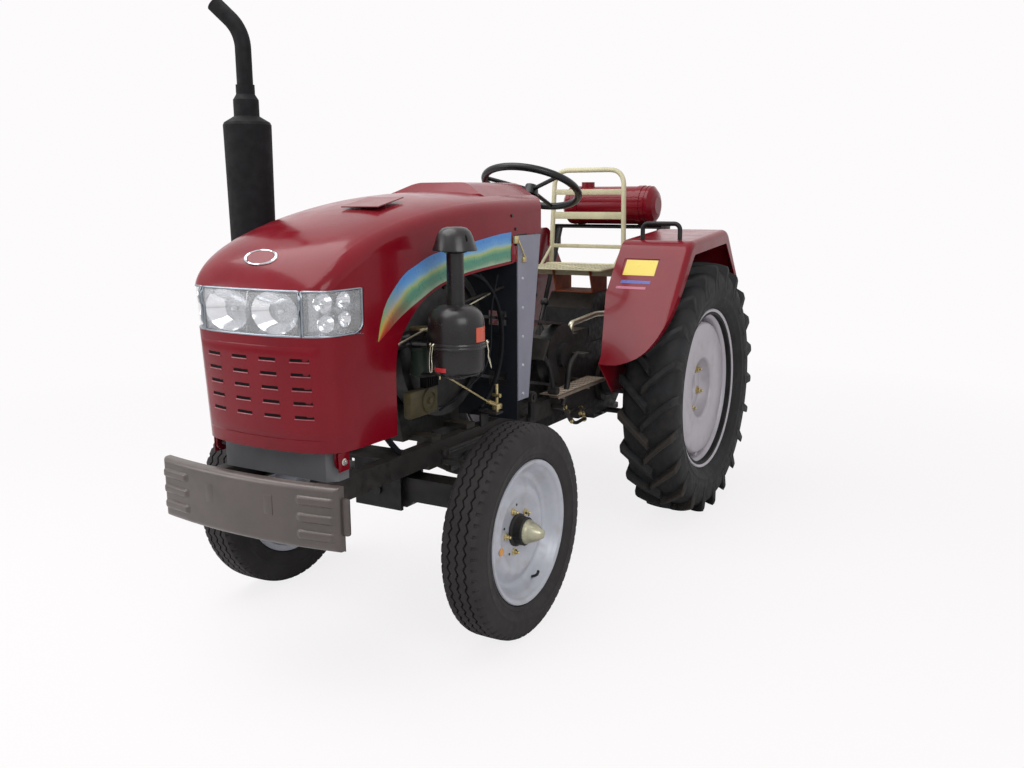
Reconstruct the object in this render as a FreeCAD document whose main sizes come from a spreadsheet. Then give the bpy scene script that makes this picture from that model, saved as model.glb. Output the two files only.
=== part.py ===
"""Compact farm tractor with a belt-driven transaxle, as separate named sub-parts.

Millimetres. +Z is up, the tractor faces -Y, and +X is its left side. The origin is on
the ground, half way between the ends of the machine and on its centre plane.
"""
import FreeCAD, Part
import math
import os

import Sketcher
from FreeCAD import Placement, Rotation, Vector

os.makedirs("parts", exist_ok=True)
doc = FreeCAD.newDocument("CompactTractor")

# --------------------------------------------------------------------------------------
# Driving dimensions
# --------------------------------------------------------------------------------------
SIZES = {
    # Where the axles are. "fore" lengths are measured ahead of the front axle.
    "wheelbase": 1417,
    "rear_axle_y": 690,
    # Front wheels
    "front_tyre_radius": 325,
    "front_tyre_width": 128,
    "front_wheel_x": 466,
    "front_rim_radius": 219,
    "front_rim_width": 100,
    "front_hub_radius": 55,
    "spindle_radius": 18,
    # Rear wheels
    "rear_tyre_radius": 519,
    "rear_tyre_width": 222,
    "rear_wheel_x": 503,
    "rear_rim_radius": 331,
    "rear_rim_width": 160,
    "rear_disc_radius": 268,
    "rear_hub_radius": 60,
    "axle_shaft_radius": 26,
    "lug_height": 26,
    "lug_count": 22,
    # Chassis rails and front axle
    "rail_half_gauge": 200,
    "rail_top": 565,
    "rail_depth": 65,
    "rail_flange": 40,
    "rail_wall": 6,
    "rail_front_fore": 583,
    "rail_rear_gap": 300,
    "beam_top": 444,
    "beam_bottom": 368,
    "beam_depth": 76,
    "kingpin_x": 300,
    "kingpin_radius": 14,
    "sleeve_radius": 28,
    "steer_arm": 80,
    "tie_arm": 130,
    "link_level": 535,
    "pitman_x": 220,
    "pitman_aft": 517,
    # Bumper and nose plate
    "bumper_half_width": 313,
    "bumper_top": 598,
    "bumper_height": 171,
    "bumper_fore": 664,
    "bumper_bow": 31,
    "bumper_depth": 24,
    "bumper_wall": 4,
    "nose_half_width": 206,
    "nose_fore": 513,
    "nose_length": 66,
    "nose_height": 83,
    "hinge_fore": 492,
    "hinge_z": 623,
    "hinge_pin_radius": 6,
    # Hood
    "hood_bottom": 652,
    "hood_half_width": 269,
    "hood_fore": 591,
    "hood_wall": 4,
    "hood_tuck": 20,
    "hood_hump_top": 1355,
    "hood_hump_aft": 285,
    "hood_aft_side": 527,
    "hood_aft_centre": 677,
    "hood_crown": 34,
    "hood_shoulder": 44,
    "hood_front_top": 1098,
    "hood_mid_top": 1318,
    "hood_rear_top": 1326,
    "lamp_bottom": 960,
    "lamp_top": 1080,
    "lamp_thickness": 24,
    "lamp_split_x": 170,
    "lamp_corner": 32,
    "filler_lid_width": 122,
    "filler_lid_length": 148,
    "filler_lid_x": 20,
    "filler_lid_fore": 213,
    "lamp_gap": 0.5,
    "slot_length": 43,
    "slot_height": 9,
    "slot_pitch_x": 97,
    "slot_pitch_z": 38,
    "slot_top_z": 901,
    # Engine
    "engine_half_width": 105,
    "flywheel_radius": 232,
    "flywheel_aft": 87,
    "flywheel_z": 862,
    "belt_x": 192,
    "belt_band": 42,
    "drive_pulley_radius": 85,
    "clutch_pulley_radius": 112,
    "clutch_pulley_aft": 797,
    "clutch_pulley_z": 722,
    "belt_thickness": 9,
    "belt_low_run": 703,
    "belt_high_run": 908,
    # Air cleaner and exhaust
    "cleaner_x": 372,
    "cleaner_fore": 149,
    "cleaner_radius": 79,
    "cleaner_bottom": 812,
    "cleaner_top": 1011,
    "cleaner_tube_radius": 28,
    "cleaner_cap_radius": 61,
    "cleaner_cap_bottom": 1164,
    "cleaner_cap_top": 1229,
    "muffler_x": 366,
    "muffler_fore": 173,
    "muffler_radius": 72,
    "muffler_bottom": 1090,
    "muffler_top": 1534,
    "stack_radius": 24,
    "stack_bend_z": 1760,
    "stack_tip_z": 1880,
    # Dash and platform
    "pillar_x": 268,
    "pillar_front_aft": 367,
    "pillar_top": 1182,
    "pillar_bottom": 632,
    "sheet": 4,
    "platform_half_width": 285,
    "platform_top": 600,
    "platform_front_aft": 587,
    "platform_rear_gap": 450,
    "shelf_z": 765,
    # Transaxle
    "gearbox_half_width": 110,
    "gearbox_front_gap": 690,
    "axle_housing_radius": 58,
    "lift_housing_top": 900,
    # Seat, tank and fenders
    "seat_z": 1010,
    "seat_half_width": 205,
    "seat_front_gap": 250,
    "seat_rear_aft": 80,
    "seat_back_top": 1420,
    "seat_tube_radius": 9,
    "tank_radius": 84,
    "tank_half_length": 225,
    "tank_aft": 300,
    "tank_z": 1262,
    "fender_inner_x": 345,
    "fender_width": 230,
    "fender_flare": 62,
    "fender_shoulder": 24,
    "fender_bottom": 560,
    # Steering wheel
    "wheel_rim_radius": 185,
    "wheel_tube_radius": 14,
    "wheel_z": 1341,
    "wheel_gap": 460,
    "wheel_rake": 24,
    # Hitch
    "rock_shaft_aft": 120,
    "rock_shaft_z": 820,
    "lift_arm_length": 210,
    "lower_link_x": 240,
    "lower_link_z": 362,
    "lower_link_front_aft": 80,
    "lower_link_length": 600,
    "link_pin_radius": 11.2,
    "drawbar_pin_radius": 13,
    # Clearances
    "running_gap": 0.4,
    "seat_gap": 0.3,
}

sheet = doc.addObject("Spreadsheet::Sheet", "Sizes")
for row, (alias, number) in enumerate(SIZES.items(), start=1):
    cell = f"A{row}"
    sheet.set(cell, str(number))
    sheet.setAlias(cell, alias)
doc.recompute()


class Size:
    """A length together with the formula that gives it from the sheet."""

    def __init__(self, value, formula):
        self.value = float(value)
        self.formula = formula

    @staticmethod
    def of(other):
        if isinstance(other, Size):
            return other
        return Size(other, f"({float(other)!r})")

    def __add__(self, other):
        other = Size.of(other)
        return Size(self.value + other.value, f"({self.formula} + {other.formula})")

    def __radd__(self, other):
        return Size.of(other) + self

    def __sub__(self, other):
        other = Size.of(other)
        return Size(self.value - other.value, f"({self.formula} - {other.formula})")

    def __rsub__(self, other):
        return Size.of(other) - self

    def __mul__(self, other):
        other = Size.of(other)
        return Size(self.value * other.value, f"({self.formula} * {other.formula})")

    def __rmul__(self, other):
        return Size.of(other) * self

    def __truediv__(self, other):
        other = Size.of(other)
        return Size(self.value / other.value, f"({self.formula} / {other.formula})")

    def __neg__(self):
        return Size.of(0) - self

    def __float__(self):
        return self.value


def size(alias):
    """The named cell of the sheet, as a number with its formula."""
    return Size(sheet.get(alias), f"Sizes.{alias}")


REAR = size("rear_axle_y")
FRONT = REAR - size("wheelbase")


# --------------------------------------------------------------------------------------
# Helpers for document objects
# --------------------------------------------------------------------------------------
def bind(target, name, amount):
    """Ties one property of an object to the sheet."""
    amount = Size.of(amount)
    target.setExpression(name, amount.formula)


def place(target, x=0, y=0, z=0, axis=Vector(0, 0, 1), angle=0):
    """Puts an object at a place given by sizes, turned about an axis."""
    target.Placement = Placement(Vector(0, 0, 0), Rotation(axis, float(angle)))
    bind(target, "Placement.Base.x", x)
    bind(target, "Placement.Base.y", y)
    bind(target, "Placement.Base.z", z)
    return target


def box(name, x, y, z, length, width, height):
    """A block from its low corner."""
    block = doc.addObject("Part::Box", name)
    bind(block, "Length", length)
    bind(block, "Width", width)
    bind(block, "Height", height)
    return place(block, x, y, z)


ALONG = {
    "x": (Vector(0, 1, 0), 90),
    "y": (Vector(1, 0, 0), -90),
    "z": (Vector(0, 0, 1), 0),
}


def rod(name, x, y, z, radius, length, along="z"):
    """A round bar that starts at a point and runs along +X, +Y or +Z."""
    bar = doc.addObject("Part::Cylinder", name)
    bind(bar, "Radius", radius)
    bind(bar, "Height", length)
    axis, angle = ALONG[along]
    return place(bar, x, y, z, axis, angle)


def cone(name, x, y, z, low_radius, high_radius, length, along="z"):
    """A round taper that starts at a point and runs along +X, +Y or +Z."""
    taper = doc.addObject("Part::Cone", name)
    bind(taper, "Radius1", low_radius)
    bind(taper, "Radius2", high_radius)
    bind(taper, "Height", length)
    axis, angle = ALONG[along]
    return place(taper, x, y, z, axis, angle)


def fuse(label, *pieces):
    """Joins pieces into one sub-part."""
    joined = doc.addObject("Part::MultiFuse", label)
    joined.Shapes = list(pieces)
    joined.Label = label
    return joined


def cut(label, base, tool):
    """Takes one shape out of another."""
    rest = doc.addObject("Part::Cut", label)
    rest.Base = base
    rest.Tool = tool
    rest.Label = label
    return rest


def group(label, *pieces):
    """Like pieces on one body that share a node without touching."""
    together = doc.addObject("Part::Compound", label)
    together.Links = list(pieces)
    together.Label = label
    return together


def body(label):
    """An empty PartDesign body."""
    new = doc.addObject("PartDesign::Body", label)
    new.Label = label
    return new


def sketch(owner, role, offset, *outlines):
    """A sketch on one of the body's own planes, of closed outlines of straight sides.

    Each outline is a list of corners, or (centre x, centre y, radius) for a circle.
    """
    new = owner.newObject("Sketcher::SketchObject", f"{owner.Name}_sketch")
    plane = [item for item in owner.Origin.OriginFeatures if item.Role == role][0]
    new.AttachmentSupport = (plane, [""])
    new.MapMode = "FlatFace"
    bind(new, "AttachmentOffset.Base.z", offset)
    for outline in outlines:
        if isinstance(outline, tuple):
            draw_circle(new, *outline)
        else:
            draw_polygon(new, outline)
    return new


def pin_down(target, kind, where, amount):
    """Adds one driving dimension to a sketch, from the sketch's own origin."""
    amount = Size.of(amount)
    index = target.addConstraint(Sketcher.Constraint(kind, -1, 1, *where, amount.value))
    target.setExpression(f"Constraints[{index}]", amount.formula)


def draw_polygon(target, corners):
    first = target.GeometryCount
    count = len(corners)
    for index in range(count):
        start = Vector(float(corners[index][0]), float(corners[index][1]), 0)
        after = corners[(index + 1) % count]
        target.addGeometry(Part.LineSegment(start, Vector(float(after[0]), float(after[1]), 0)))
    for index in range(count):
        side = first + index
        target.addConstraint(
            Sketcher.Constraint("Coincident", side, 2, first + (index + 1) % count, 1))
    for index, (across, up) in enumerate(corners):
        pin_down(target, "DistanceX", (first + index, 1), across)
        pin_down(target, "DistanceY", (first + index, 1), up)


def draw_circle(target, across, up, radius):
    centre = Vector(float(across), float(up), 0)
    ring = target.addGeometry(Part.Circle(centre, Vector(0, 0, 1), float(radius)))
    pin_down(target, "DistanceX", (ring, 3), across)
    pin_down(target, "DistanceY", (ring, 3), up)
    radius = Size.of(radius)
    index = target.addConstraint(Sketcher.Constraint("Radius", ring, radius.value))
    target.setExpression(f"Constraints[{index}]", radius.formula)


def pad(owner, profile, length, symmetric=False, backward=False):
    """Raises a sketch into a solid."""
    new = owner.newObject("PartDesign::Pad", f"{owner.Name}_pad")
    new.Profile = profile
    bind(new, "Length", length)
    if symmetric:
        new.SideType = "Symmetric"
    new.Reversed = backward
    return new


def pocket(owner, profile, length, symmetric=False, backward=False):
    """Cuts a sketch out of the body."""
    new = owner.newObject("PartDesign::Pocket", f"{owner.Name}_pocket")
    new.Profile = profile
    bind(new, "Length", length)
    if symmetric:
        new.SideType = "Symmetric"
    new.Reversed = backward
    return new


def revolve(owner, profile, axis="H_Axis"):
    """Turns a sketch a full circle about one of its own axes."""
    new = owner.newObject("PartDesign::Revolution", f"{owner.Name}_revolution")
    new.Profile = profile
    new.ReferenceAxis = (profile, [axis])
    new.Angle = 360
    return new


def round_edges(owner, base, chosen, radius):
    """Rounds the edges of a feature for which chosen(edge) holds."""
    doc.recompute()
    names = [f"Edge{index}" for index, edge in enumerate(base.Shape.Edges, start=1)
             if chosen(edge)]
    new = owner.newObject("PartDesign::Fillet", f"{owner.Name}_fillet")
    new.Base = (base, names)
    bind(new, "Radius", radius)
    return new


def feature(label, shape):
    """A sub-part whose shape comes from Part's own functions."""
    new = doc.addObject("Part::Feature", label)
    new.Label = label
    new.Shape = shape
    return new


def is_along(edge, direction):
    """Whether an edge is straight and runs along a direction."""
    if not isinstance(edge.Curve, Part.Line):
        return False
    return abs(abs(edge.Curve.Direction.dot(direction)) - 1) < 1e-6


def is_upright(edge):
    """Whether an edge runs mainly up and down."""
    reach = edge.BoundBox
    return reach.ZLength > 3 * max(reach.XLength, reach.YLength)


def mirrored(point):
    return Vector(-point.x, point.y, point.z)


def extruded(points, direction):
    """A prism on a closed polygon."""
    return Part.Face(Part.makePolygon(points + points[:1])).extrude(direction)


def tube_path(points, bend):
    """A wire of straight runs joined by tangent arcs of one bend radius."""
    edges = []
    start = points[0]
    for before, corner, after in zip(points, points[1:], points[2:]):
        inward = (before - corner).normalize()
        outward = (after - corner).normalize()
        half = inward.getAngle(outward) / 2
        setback = bend / math.tan(half)
        first = corner + inward * setback
        last = corner + outward * setback
        middle = (inward + outward).normalize()
        centre = corner + middle * (bend / math.sin(half))
        edges.append(Part.LineSegment(start, first).toShape())
        edges.append(Part.Arc(first, centre - middle * bend, last).toShape())
        start = last
    edges.append(Part.LineSegment(start, points[-1]).toShape())
    return Part.Wire(edges)


def tube(points, radius, bend):
    """A round bar along a bent path."""
    path = tube_path(points, bend)
    heading = (points[1] - points[0]).normalize()
    ring = Part.Wire([Part.Circle(points[0], heading, radius).toShape()])
    return path.makePipeShell([ring], True, False)


SIDES = {"left": 1, "right": -1}
subparts = []


def keep(piece):
    subparts.append(piece)
    return piece


# --------------------------------------------------------------------------------------
# Chassis: rails, crossmembers, front axle, bumper
# --------------------------------------------------------------------------------------
def make_frame_rails():
    """Two channels that open inward, from behind the bumper to the gearbox."""
    gauge, top, depth = size("rail_half_gauge"), size("rail_top"), size("rail_depth")
    flange, wall = size("rail_flange"), size("rail_wall")
    front = FRONT - size("rail_front_fore")
    rear = REAR - size("rail_rear_gap")
    inner = gauge - flange
    web = gauge - wall
    low = top - depth
    right_half = [
        (gauge, low), (gauge, top), (inner, top), (inner, top - wall),
        (web, top - wall), (web, low + wall), (inner, low + wall), (inner, low),
    ]
    left_half = [(-across, up) for across, up in right_half]
    owner = body("frame_rails")
    profile = sketch(owner, "XZ_Plane", -rear, right_half, left_half)
    pad(owner, profile, rear - front)
    return owner


def make_front_crossmembers():
    """The cross channel behind the bumper and the two plates that carry the axle pin."""
    gauge, wall = size("rail_half_gauge"), size("rail_wall")
    low = size("rail_top") - size("rail_depth")
    web = gauge - wall
    front = FRONT - size("rail_front_fore")
    channel = box("nose_channel", -web, front, low + wall, web * 2, 50, size("rail_depth") - wall * 2)
    saddle = box("axle_saddle", -gauge, FRONT - 62, low - 12, gauge * 2, 124, 12)
    cheeks = []
    for name, offset in (("front_cheek", -62), ("rear_cheek", 50)):
        low_edge = size("beam_bottom") - 28
        cheeks.append(box(name, -90, FRONT + offset, low_edge, 180, 12, low - low_edge))
    pin = rod("axle_pin", 0, FRONT - 70, beam_pin_level(), 16, 140, "y")
    bracket = fuse("axle_bracket", saddle, *cheeks, pin)
    return group("front_crossmembers", channel, bracket)


def beam_pin_level():
    """The centre bolt's height, where the whole beam rocks."""
    return (size("beam_top") + size("beam_bottom")) / 2 - 8


def make_front_axle_beam():
    """A box beam, deeper in the middle, with a kingpin sleeve at each end."""
    top, bottom = size("beam_top"), size("beam_bottom")
    end = size("kingpin_x")
    owner = body("front_axle_beam")
    outline = [
        (-end, bottom), (-120, bottom), (-95, bottom - 22), (95, bottom - 22), (120, bottom),
        (end, bottom), (end, top), (-end, top),
    ]
    profile = sketch(owner, "XZ_Plane", -FRONT, outline)
    pad(owner, profile, size("beam_depth"), symmetric=True)
    for across in (-end, end):
        sleeve = sketch(owner, "XY_Plane", bottom - 2, (across, FRONT, size("sleeve_radius")))
        pad(owner, sleeve, top - bottom + 6)
    bore_radius = size("kingpin_radius") + size("running_gap")
    for across in (-end, end):
        bore = sketch(owner, "XY_Plane", bottom - 10, (across, FRONT, bore_radius))
        pocket(owner, bore, top - bottom + 40, backward=True)
    pin_radius = size("seat_gap") + 16
    pin_bore = sketch(owner, "XZ_Plane", -FRONT, (0, beam_pin_level(), pin_radius))
    pocket(owner, pin_bore, 200, symmetric=True)
    return owner


def make_bumper():
    """A bowed pressing with returned edges, ribs at both ends and short side wings."""
    half, height = size("bumper_half_width"), size("bumper_height")
    low = size("bumper_top") - height
    middle_y = FRONT - size("bumper_fore")
    bow = size("bumper_bow")
    depth, wall = size("bumper_depth"), size("bumper_wall")

    def front_at(share):
        """Where the face is, at a share of the half width from the centre."""
        return middle_y + bow * (share * share)

    shares = [step / 5 for step in range(-5, 6)]
    face = [(half * share, front_at(share)) for share in shares]
    back = front_at(1) + depth
    owner = body("bumper")
    profile = sketch(owner, "XY_Plane", low, face + [(half, back), (-half, back)])
    pad(owner, profile, height)
    inner = [((half - wall) * share, front_at(share) + wall) for share in shares]
    hollow = sketch(owner, "XY_Plane", low + wall, inner + [(half - wall, back + 10),
                                                          (wall - half, back + 10)])
    pocket(owner, hollow, height - wall * 2, backward=True)
    rib_in, rib_out = 0.60, 0.95
    for sign in (-1, 1):
        for level in (0.2, 0.5, 0.8):
            rib = [
                (half * (sign * rib_in), front_at(rib_in) - 6),
                (half * (sign * rib_out), front_at(rib_out) - 6),
                (half * (sign * rib_out), front_at(rib_out) + 1),
                (half * (sign * rib_in), front_at(rib_in) + 1),
            ]
            band = sketch(owner, "XY_Plane", low + height * level - 11, rib)
            pad(owner, band, 22)
        wing = [
            (half * sign - sign, back - 36), ((half + 17) * sign, back - 26),
            ((half + 17) * sign, back), (half * sign - sign, back),
        ]
        wing_sketch = sketch(owner, "XY_Plane", low + 58, wing)
        pad(owner, wing_sketch, 81)
    stay = sketch(owner, "XY_Plane", size("rail_top") - 55, [
        (-120, front_at(0.4) + wall - 3), (-80, front_at(0.25) + wall - 3),
        (-80, FRONT - size("rail_front_fore") - size("seat_gap")),
        (-120, FRONT - size("rail_front_fore") - size("seat_gap")),
    ], [
        (80, front_at(0.25) + wall - 3), (120, front_at(0.4) + wall - 3),
        (120, FRONT - size("rail_front_fore") - size("seat_gap")),
        (80, FRONT - size("rail_front_fore") - size("seat_gap")),
    ])
    pad(owner, stay, 40)
    return owner


def make_nose_plate():
    """The grey U-shaped plate under the hood, with the hood's two hinge pins."""
    half, wall = size("nose_half_width"), size("sheet")
    front = FRONT - size("nose_fore")
    back = front + size("nose_length")
    corner = 24
    owner = body("nose_plate")
    outline = [
        (-half, back), (-half, front + corner), (corner - half, front),
        (half - corner, front), (half, front + corner), (half, back),
        (half - wall, back), (half - wall, front + corner + 2), (half - corner - 2, front + wall),
        (corner + 2 - half, front + wall), (wall - half, front + corner + 2), (wall - half, back),
    ]
    profile = sketch(owner, "XY_Plane", size("rail_top") + size("seat_gap"), outline)
    pad(owner, profile, size("nose_height"))
    pin_y = FRONT - size("hinge_fore")
    for start, sign in ((half - wall, 1), (wall - half, -1)):
        pin = sketch(owner, "YZ_Plane", start, (pin_y, size("hinge_z"), size("hinge_pin_radius")))
        pad(owner, pin, 18 + wall, backward=sign < 0)
    return owner


# --------------------------------------------------------------------------------------
# Engine, drive and what stands beside the hood
# --------------------------------------------------------------------------------------
def make_engine_block():
    """The lying single cylinder's crankcase with its sump and feet, on the rails."""
    half = size("engine_half_width")
    owner = body("engine_block")
    top = size("rail_top")
    crank_y, crank_z = crank()
    outline = [
        (crank_y - 150, top), (crank_y + 165, top), (crank_y + 182, crank_z - 60),
        (crank_y + 182, crank_z + 60), (crank_y + 110, crank_z + 150),
        (crank_y - 150, crank_z + 150), (crank_y - 190, crank_z + 112),
        (crank_y - 260, crank_z + 112), (crank_y - 260, crank_z - 118),
        (crank_y - 190, crank_z - 118),
    ]
    profile = sketch(owner, "YZ_Plane", 0, outline)
    pad(owner, profile, half * 2, symmetric=True)
    reach = size("rail_half_gauge") - 8
    feet = sketch(owner, "XY_Plane", top, [
        (-reach, crank_y - 120), (reach, crank_y - 120), (reach, crank_y - 70), (-reach, crank_y - 70),
    ], [
        (-reach, crank_y + 80), (reach, crank_y + 80), (reach, crank_y + 130), (-reach, crank_y + 130),
    ])
    pad(owner, feet, 18)
    cover = sketch(owner, "YZ_Plane", half - 1, (crank_y, crank_z, 66))
    pad(owner, cover, 9)
    side_cover = sketch(owner, "YZ_Plane", 1 - half, (crank_y - 10, crank_z - 20, 120))
    pad(owner, side_cover, 24, backward=True)
    return owner


def crank():
    """The crankshaft's place in the YZ plane."""
    return FRONT + size("flywheel_aft"), size("flywheel_z")


def make_cylinder_head():
    """The head with its rocker cover and ports, on the front of the block."""
    crank_y, crank_z = crank()
    face = crank_y - 260 - size("seat_gap")
    owner = body("cylinder_head")
    plan = [(-95, face - 86), (95, face - 86), (95, face), (-95, face)]
    casting = sketch(owner, "XY_Plane", crank_z - 112, plan)
    pad(owner, casting, 218)
    cover_plan = [(-78, face - 132), (78, face - 132), (78, face - 80), (-78, face - 80)]
    cover = sketch(owner, "XY_Plane", crank_z - 84, cover_plan)
    last = pad(owner, cover, 168)
    round_edges(owner, last, lambda edge: is_along(edge, Vector(0, 0, 1))
                and edge.CenterOfMass.y < float(face - 100), 22)
    intake = sketch(owner, "YZ_Plane", 94, (face - 44, crank_z + 40, 30))
    pad(owner, intake, 22)
    boss = sketch(owner, "YZ_Plane", 94, (face - 44, crank_z - 66, 26))
    pad(owner, boss, 14)
    outlet = sketch(owner, "YZ_Plane", -94, (face - 44, crank_z + 40, 30))
    pad(owner, outlet, 22, backward=True)
    return owner


def make_water_tank():
    """The cooling hopper over the block with its filler neck and cap."""
    crank_y, crank_z = crank()
    low = crank_z + 150 + size("seat_gap")
    owner = body("water_tank")
    plan = [(-98, crank_y - 146), (98, crank_y - 146), (98, crank_y + 104), (-98, crank_y + 104)]
    hopper = sketch(owner, "XY_Plane", low, plan)
    block = pad(owner, hopper, 190)
    round_edges(owner, block, lambda edge: is_along(edge, Vector(0, 0, 1)), 24)
    neck = sketch(owner, "XY_Plane", low + 188, (0, crank_y - 70, 30))
    pad(owner, neck, 16)
    cap = sketch(owner, "XY_Plane", low + 204, (0, crank_y - 70, 38))
    pad(owner, cap, 12)
    return owner


def belt_lane():
    """The inner and outer X of the belts' run."""
    middle, half = size("belt_x"), size("belt_band") / 2
    return middle - half, middle + half


def make_drive_pulleys():
    """The flywheel with its belt pulley, and the clutch pulley on the gearbox shaft."""
    crank_y, crank_z = crank()
    inner, outer = belt_lane()
    wheel_start = size("engine_half_width") + 8 + size("seat_gap")
    wheel = rod("flywheel_disc", wheel_start, crank_y, crank_z, size("flywheel_radius"),
                inner - wheel_start - 6, "x")
    recess = rod("flywheel_recess", inner - 18, crank_y, crank_z, size("flywheel_radius") - 26, 40, "x")
    dished = cut("flywheel_dished", wheel, recess)
    pulley = rod("flywheel_pulley", inner - 26, crank_y, crank_z, size("drive_pulley_radius"),
                 outer - inner + 30, "x")
    flywheel = fuse("flywheel", dished, pulley)
    clutch_y = FRONT + size("clutch_pulley_aft")
    clutch_z = size("clutch_pulley_z")
    drum = rod("clutch_drum", inner - 4, clutch_y, clutch_z, size("clutch_pulley_radius"),
               outer - inner + 8, "x")
    hub = rod("clutch_hub", outer, clutch_y, clutch_z, 46, 22, "x")
    shaft_start = size("gearbox_half_width") + size("seat_gap")
    shaft = rod("clutch_shaft", shaft_start, clutch_y, clutch_z, 30, inner - shaft_start, "x")
    return group("drive_pulleys", flywheel, fuse("clutch_pulley", drum, hub, shaft))


def make_drive_belts():
    """Three belts side by side, each one a loop round the two pulleys."""
    crank_y, crank_z = crank()
    clutch_y = FRONT + size("clutch_pulley_aft")
    inner, outer = belt_lane()
    small = float(size("drive_pulley_radius") + size("seat_gap"))
    large = float(size("clutch_pulley_radius") + size("seat_gap"))
    start = Vector(0, float(crank_y), float(crank_z))
    end = Vector(0, float(clutch_y), float(size("clutch_pulley_z")))
    loops = []
    width = float(outer - inner) / 3
    for lane in range(3):
        across = float(inner) + lane * width + 1
        thick = float(size("belt_thickness"))
        outside = belt_face(start, end, small + thick, large + thick)
        inside = belt_face(start, end, small, large)
        loop = outside.cut(inside).extrude(Vector(width - 2, 0, 0))
        loop.translate(Vector(across, 0, 0))
        loops.append(loop.Solids[0])
    return feature("drive_belts", Part.makeCompound(loops))


def belt_face(start, end, start_radius, end_radius):
    """The flat region inside a belt that runs round two circles in the YZ plane."""
    span = end - start
    lean = math.asin((end_radius - start_radius) / span.Length)
    axis = Vector(1, 0, 0)
    along = Vector(span).normalize()
    side = axis.cross(along)
    corners = []
    for sign in (1, -1):
        normal = side * (sign * math.cos(lean)) - along * math.sin(lean)
        corners.append((start + normal * start_radius, end + normal * end_radius))
    (top_start, top_end), (low_start, low_end) = corners
    edges = [
        Part.LineSegment(top_start, top_end).toShape(),
        Part.Arc(top_end, end + along * end_radius, low_end).toShape(),
        Part.LineSegment(low_end, low_start).toShape(),
        Part.Arc(low_start, start - along * start_radius, top_start).toShape(),
    ]
    return Part.Face(Part.Wire(edges))


def make_air_cleaner():
    """The oil-bath bowl with its clamp ring, tube and mushroom cap, and the intake pipe."""
    across, along = size("cleaner_x"), FRONT - size("cleaner_fore")
    low, top = size("cleaner_bottom"), size("cleaner_top")
    radius, tube_radius = size("cleaner_radius"), size("cleaner_tube_radius")
    cap_radius = size("cleaner_cap_radius")
    cap_low, cap_top = size("cleaner_cap_bottom"), size("cleaner_cap_top")
    seam = low + (top - low) * 0.45
    owner = body("air_cleaner")
    outline = [
        (0, low), (radius - 22, low), (radius - 6, low + 10), (radius, low + 26), (radius, seam - 7),
        (radius + 4, seam - 7), (radius + 4, seam + 7), (radius, seam + 7), (radius, top - 50),
        (radius - 3, top - 36), (radius - 10, top - 22), (radius - 22, top - 9), (radius - 36, top - 2),
        (tube_radius, top), (tube_radius, cap_low + 6), (cap_radius, cap_low), (cap_radius, cap_low + 8),
        (cap_radius - 5, cap_low + 16), (cap_radius - 19, cap_top - 15), (cap_radius - 25, cap_top - 4),
        (cap_radius - 34, cap_top), (0, cap_top),
    ]
    profile = sketch(owner, "XZ_Plane", 0, outline)
    revolve(owner, profile, "V_Axis")
    place(owner, across, along, 0)
    crank_y, crank_z = crank()
    port_y = crank_y - 260 - size("seat_gap") - 44
    port = Vector(float(size("engine_half_width")) + 11.5, float(port_y), float(crank_z) + 40)
    bowl = Vector(float(across - radius) + 4, float(along), float(low + 97))
    middle = (port + bowl) / 2
    pipe = tube([port, Vector(middle.x, port.y, port.z), Vector(middle.x, bowl.y, bowl.z), bowl], 24, 24)
    intake = feature("intake_pipe", pipe)
    doc.recompute()
    return fuse("air_cleaner_with_pipe", owner, intake)


def make_exhaust():
    """The muffler beside the hood, its bent stack, and the elbow to the head."""
    across, along = -size("muffler_x"), FRONT - size("muffler_fore")
    low, top = size("muffler_bottom"), size("muffler_top")
    radius, stack = size("muffler_radius"), size("stack_radius")
    bend_z, tip_z = size("stack_bend_z"), size("stack_tip_z")
    owner = body("muffler_can")
    outline = [
        (0, low), (radius - 12, low), (radius - 5, low + 9), (radius, top - 8), (radius - 4, top),
        (38, top + 18), (38, top + 66), (stack + 4, top + 82), (stack + 4, top + 110), (0, top + 110),
    ]
    revolve(owner, sketch(owner, "XZ_Plane", 0, outline), "V_Axis")
    place(owner, across, along, 0)
    foot = Vector(float(across), float(along), float(top) + 100)
    knee = Vector(float(across), float(along), float(bend_z) + 40)
    tip = knee + Vector(-78, -30, float(tip_z - bend_z) - 40)
    stack_tube = tube([foot, knee, tip], float(stack), 120)
    crank_y, crank_z = crank()
    port_y = float(crank_y) - 260 - float(size("seat_gap")) - 44
    port = Vector(-float(size("engine_half_width")) - 11.5, port_y, float(crank_z) + 40)
    elbow_x = float(across)
    riser = Vector(elbow_x, float(along), port.z)
    elbow = tube([port, Vector(elbow_x + 80, port.y, port.z), riser, Vector(riser.x, riser.y, float(low) + 6)],
                 22, 34)
    doc.recompute()
    return fuse("exhaust_stack", owner, feature("stack_pipe", stack_tube), feature("elbow_pipe", elbow))


def make_firewall():
    """The panel behind the engine, between the two pillars, cut out for the belts."""
    half = size("pillar_x") - size("seat_gap")
    front = FRONT + size("pillar_front_aft")
    inner, outer = belt_lane()
    low = size("rail_top") + size("seat_gap")
    owner = body("firewall")
    outline = [(-half, low), (half, low), (half, size("pillar_top")), (-half, size("pillar_top"))]
    pad(owner, sketch(owner, "XZ_Plane", -front - size("sheet"), outline), size("sheet"))
    for run in (size("belt_low_run"), size("belt_high_run")):
        bottom, top = run - 24, run + 24
        slot = [(inner - 14, bottom), (outer + 14, bottom), (outer + 14, top), (inner - 14, top)]
        pocket(owner, sketch(owner, "XZ_Plane", -front, slot), 40, symmetric=True)
    return owner


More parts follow.
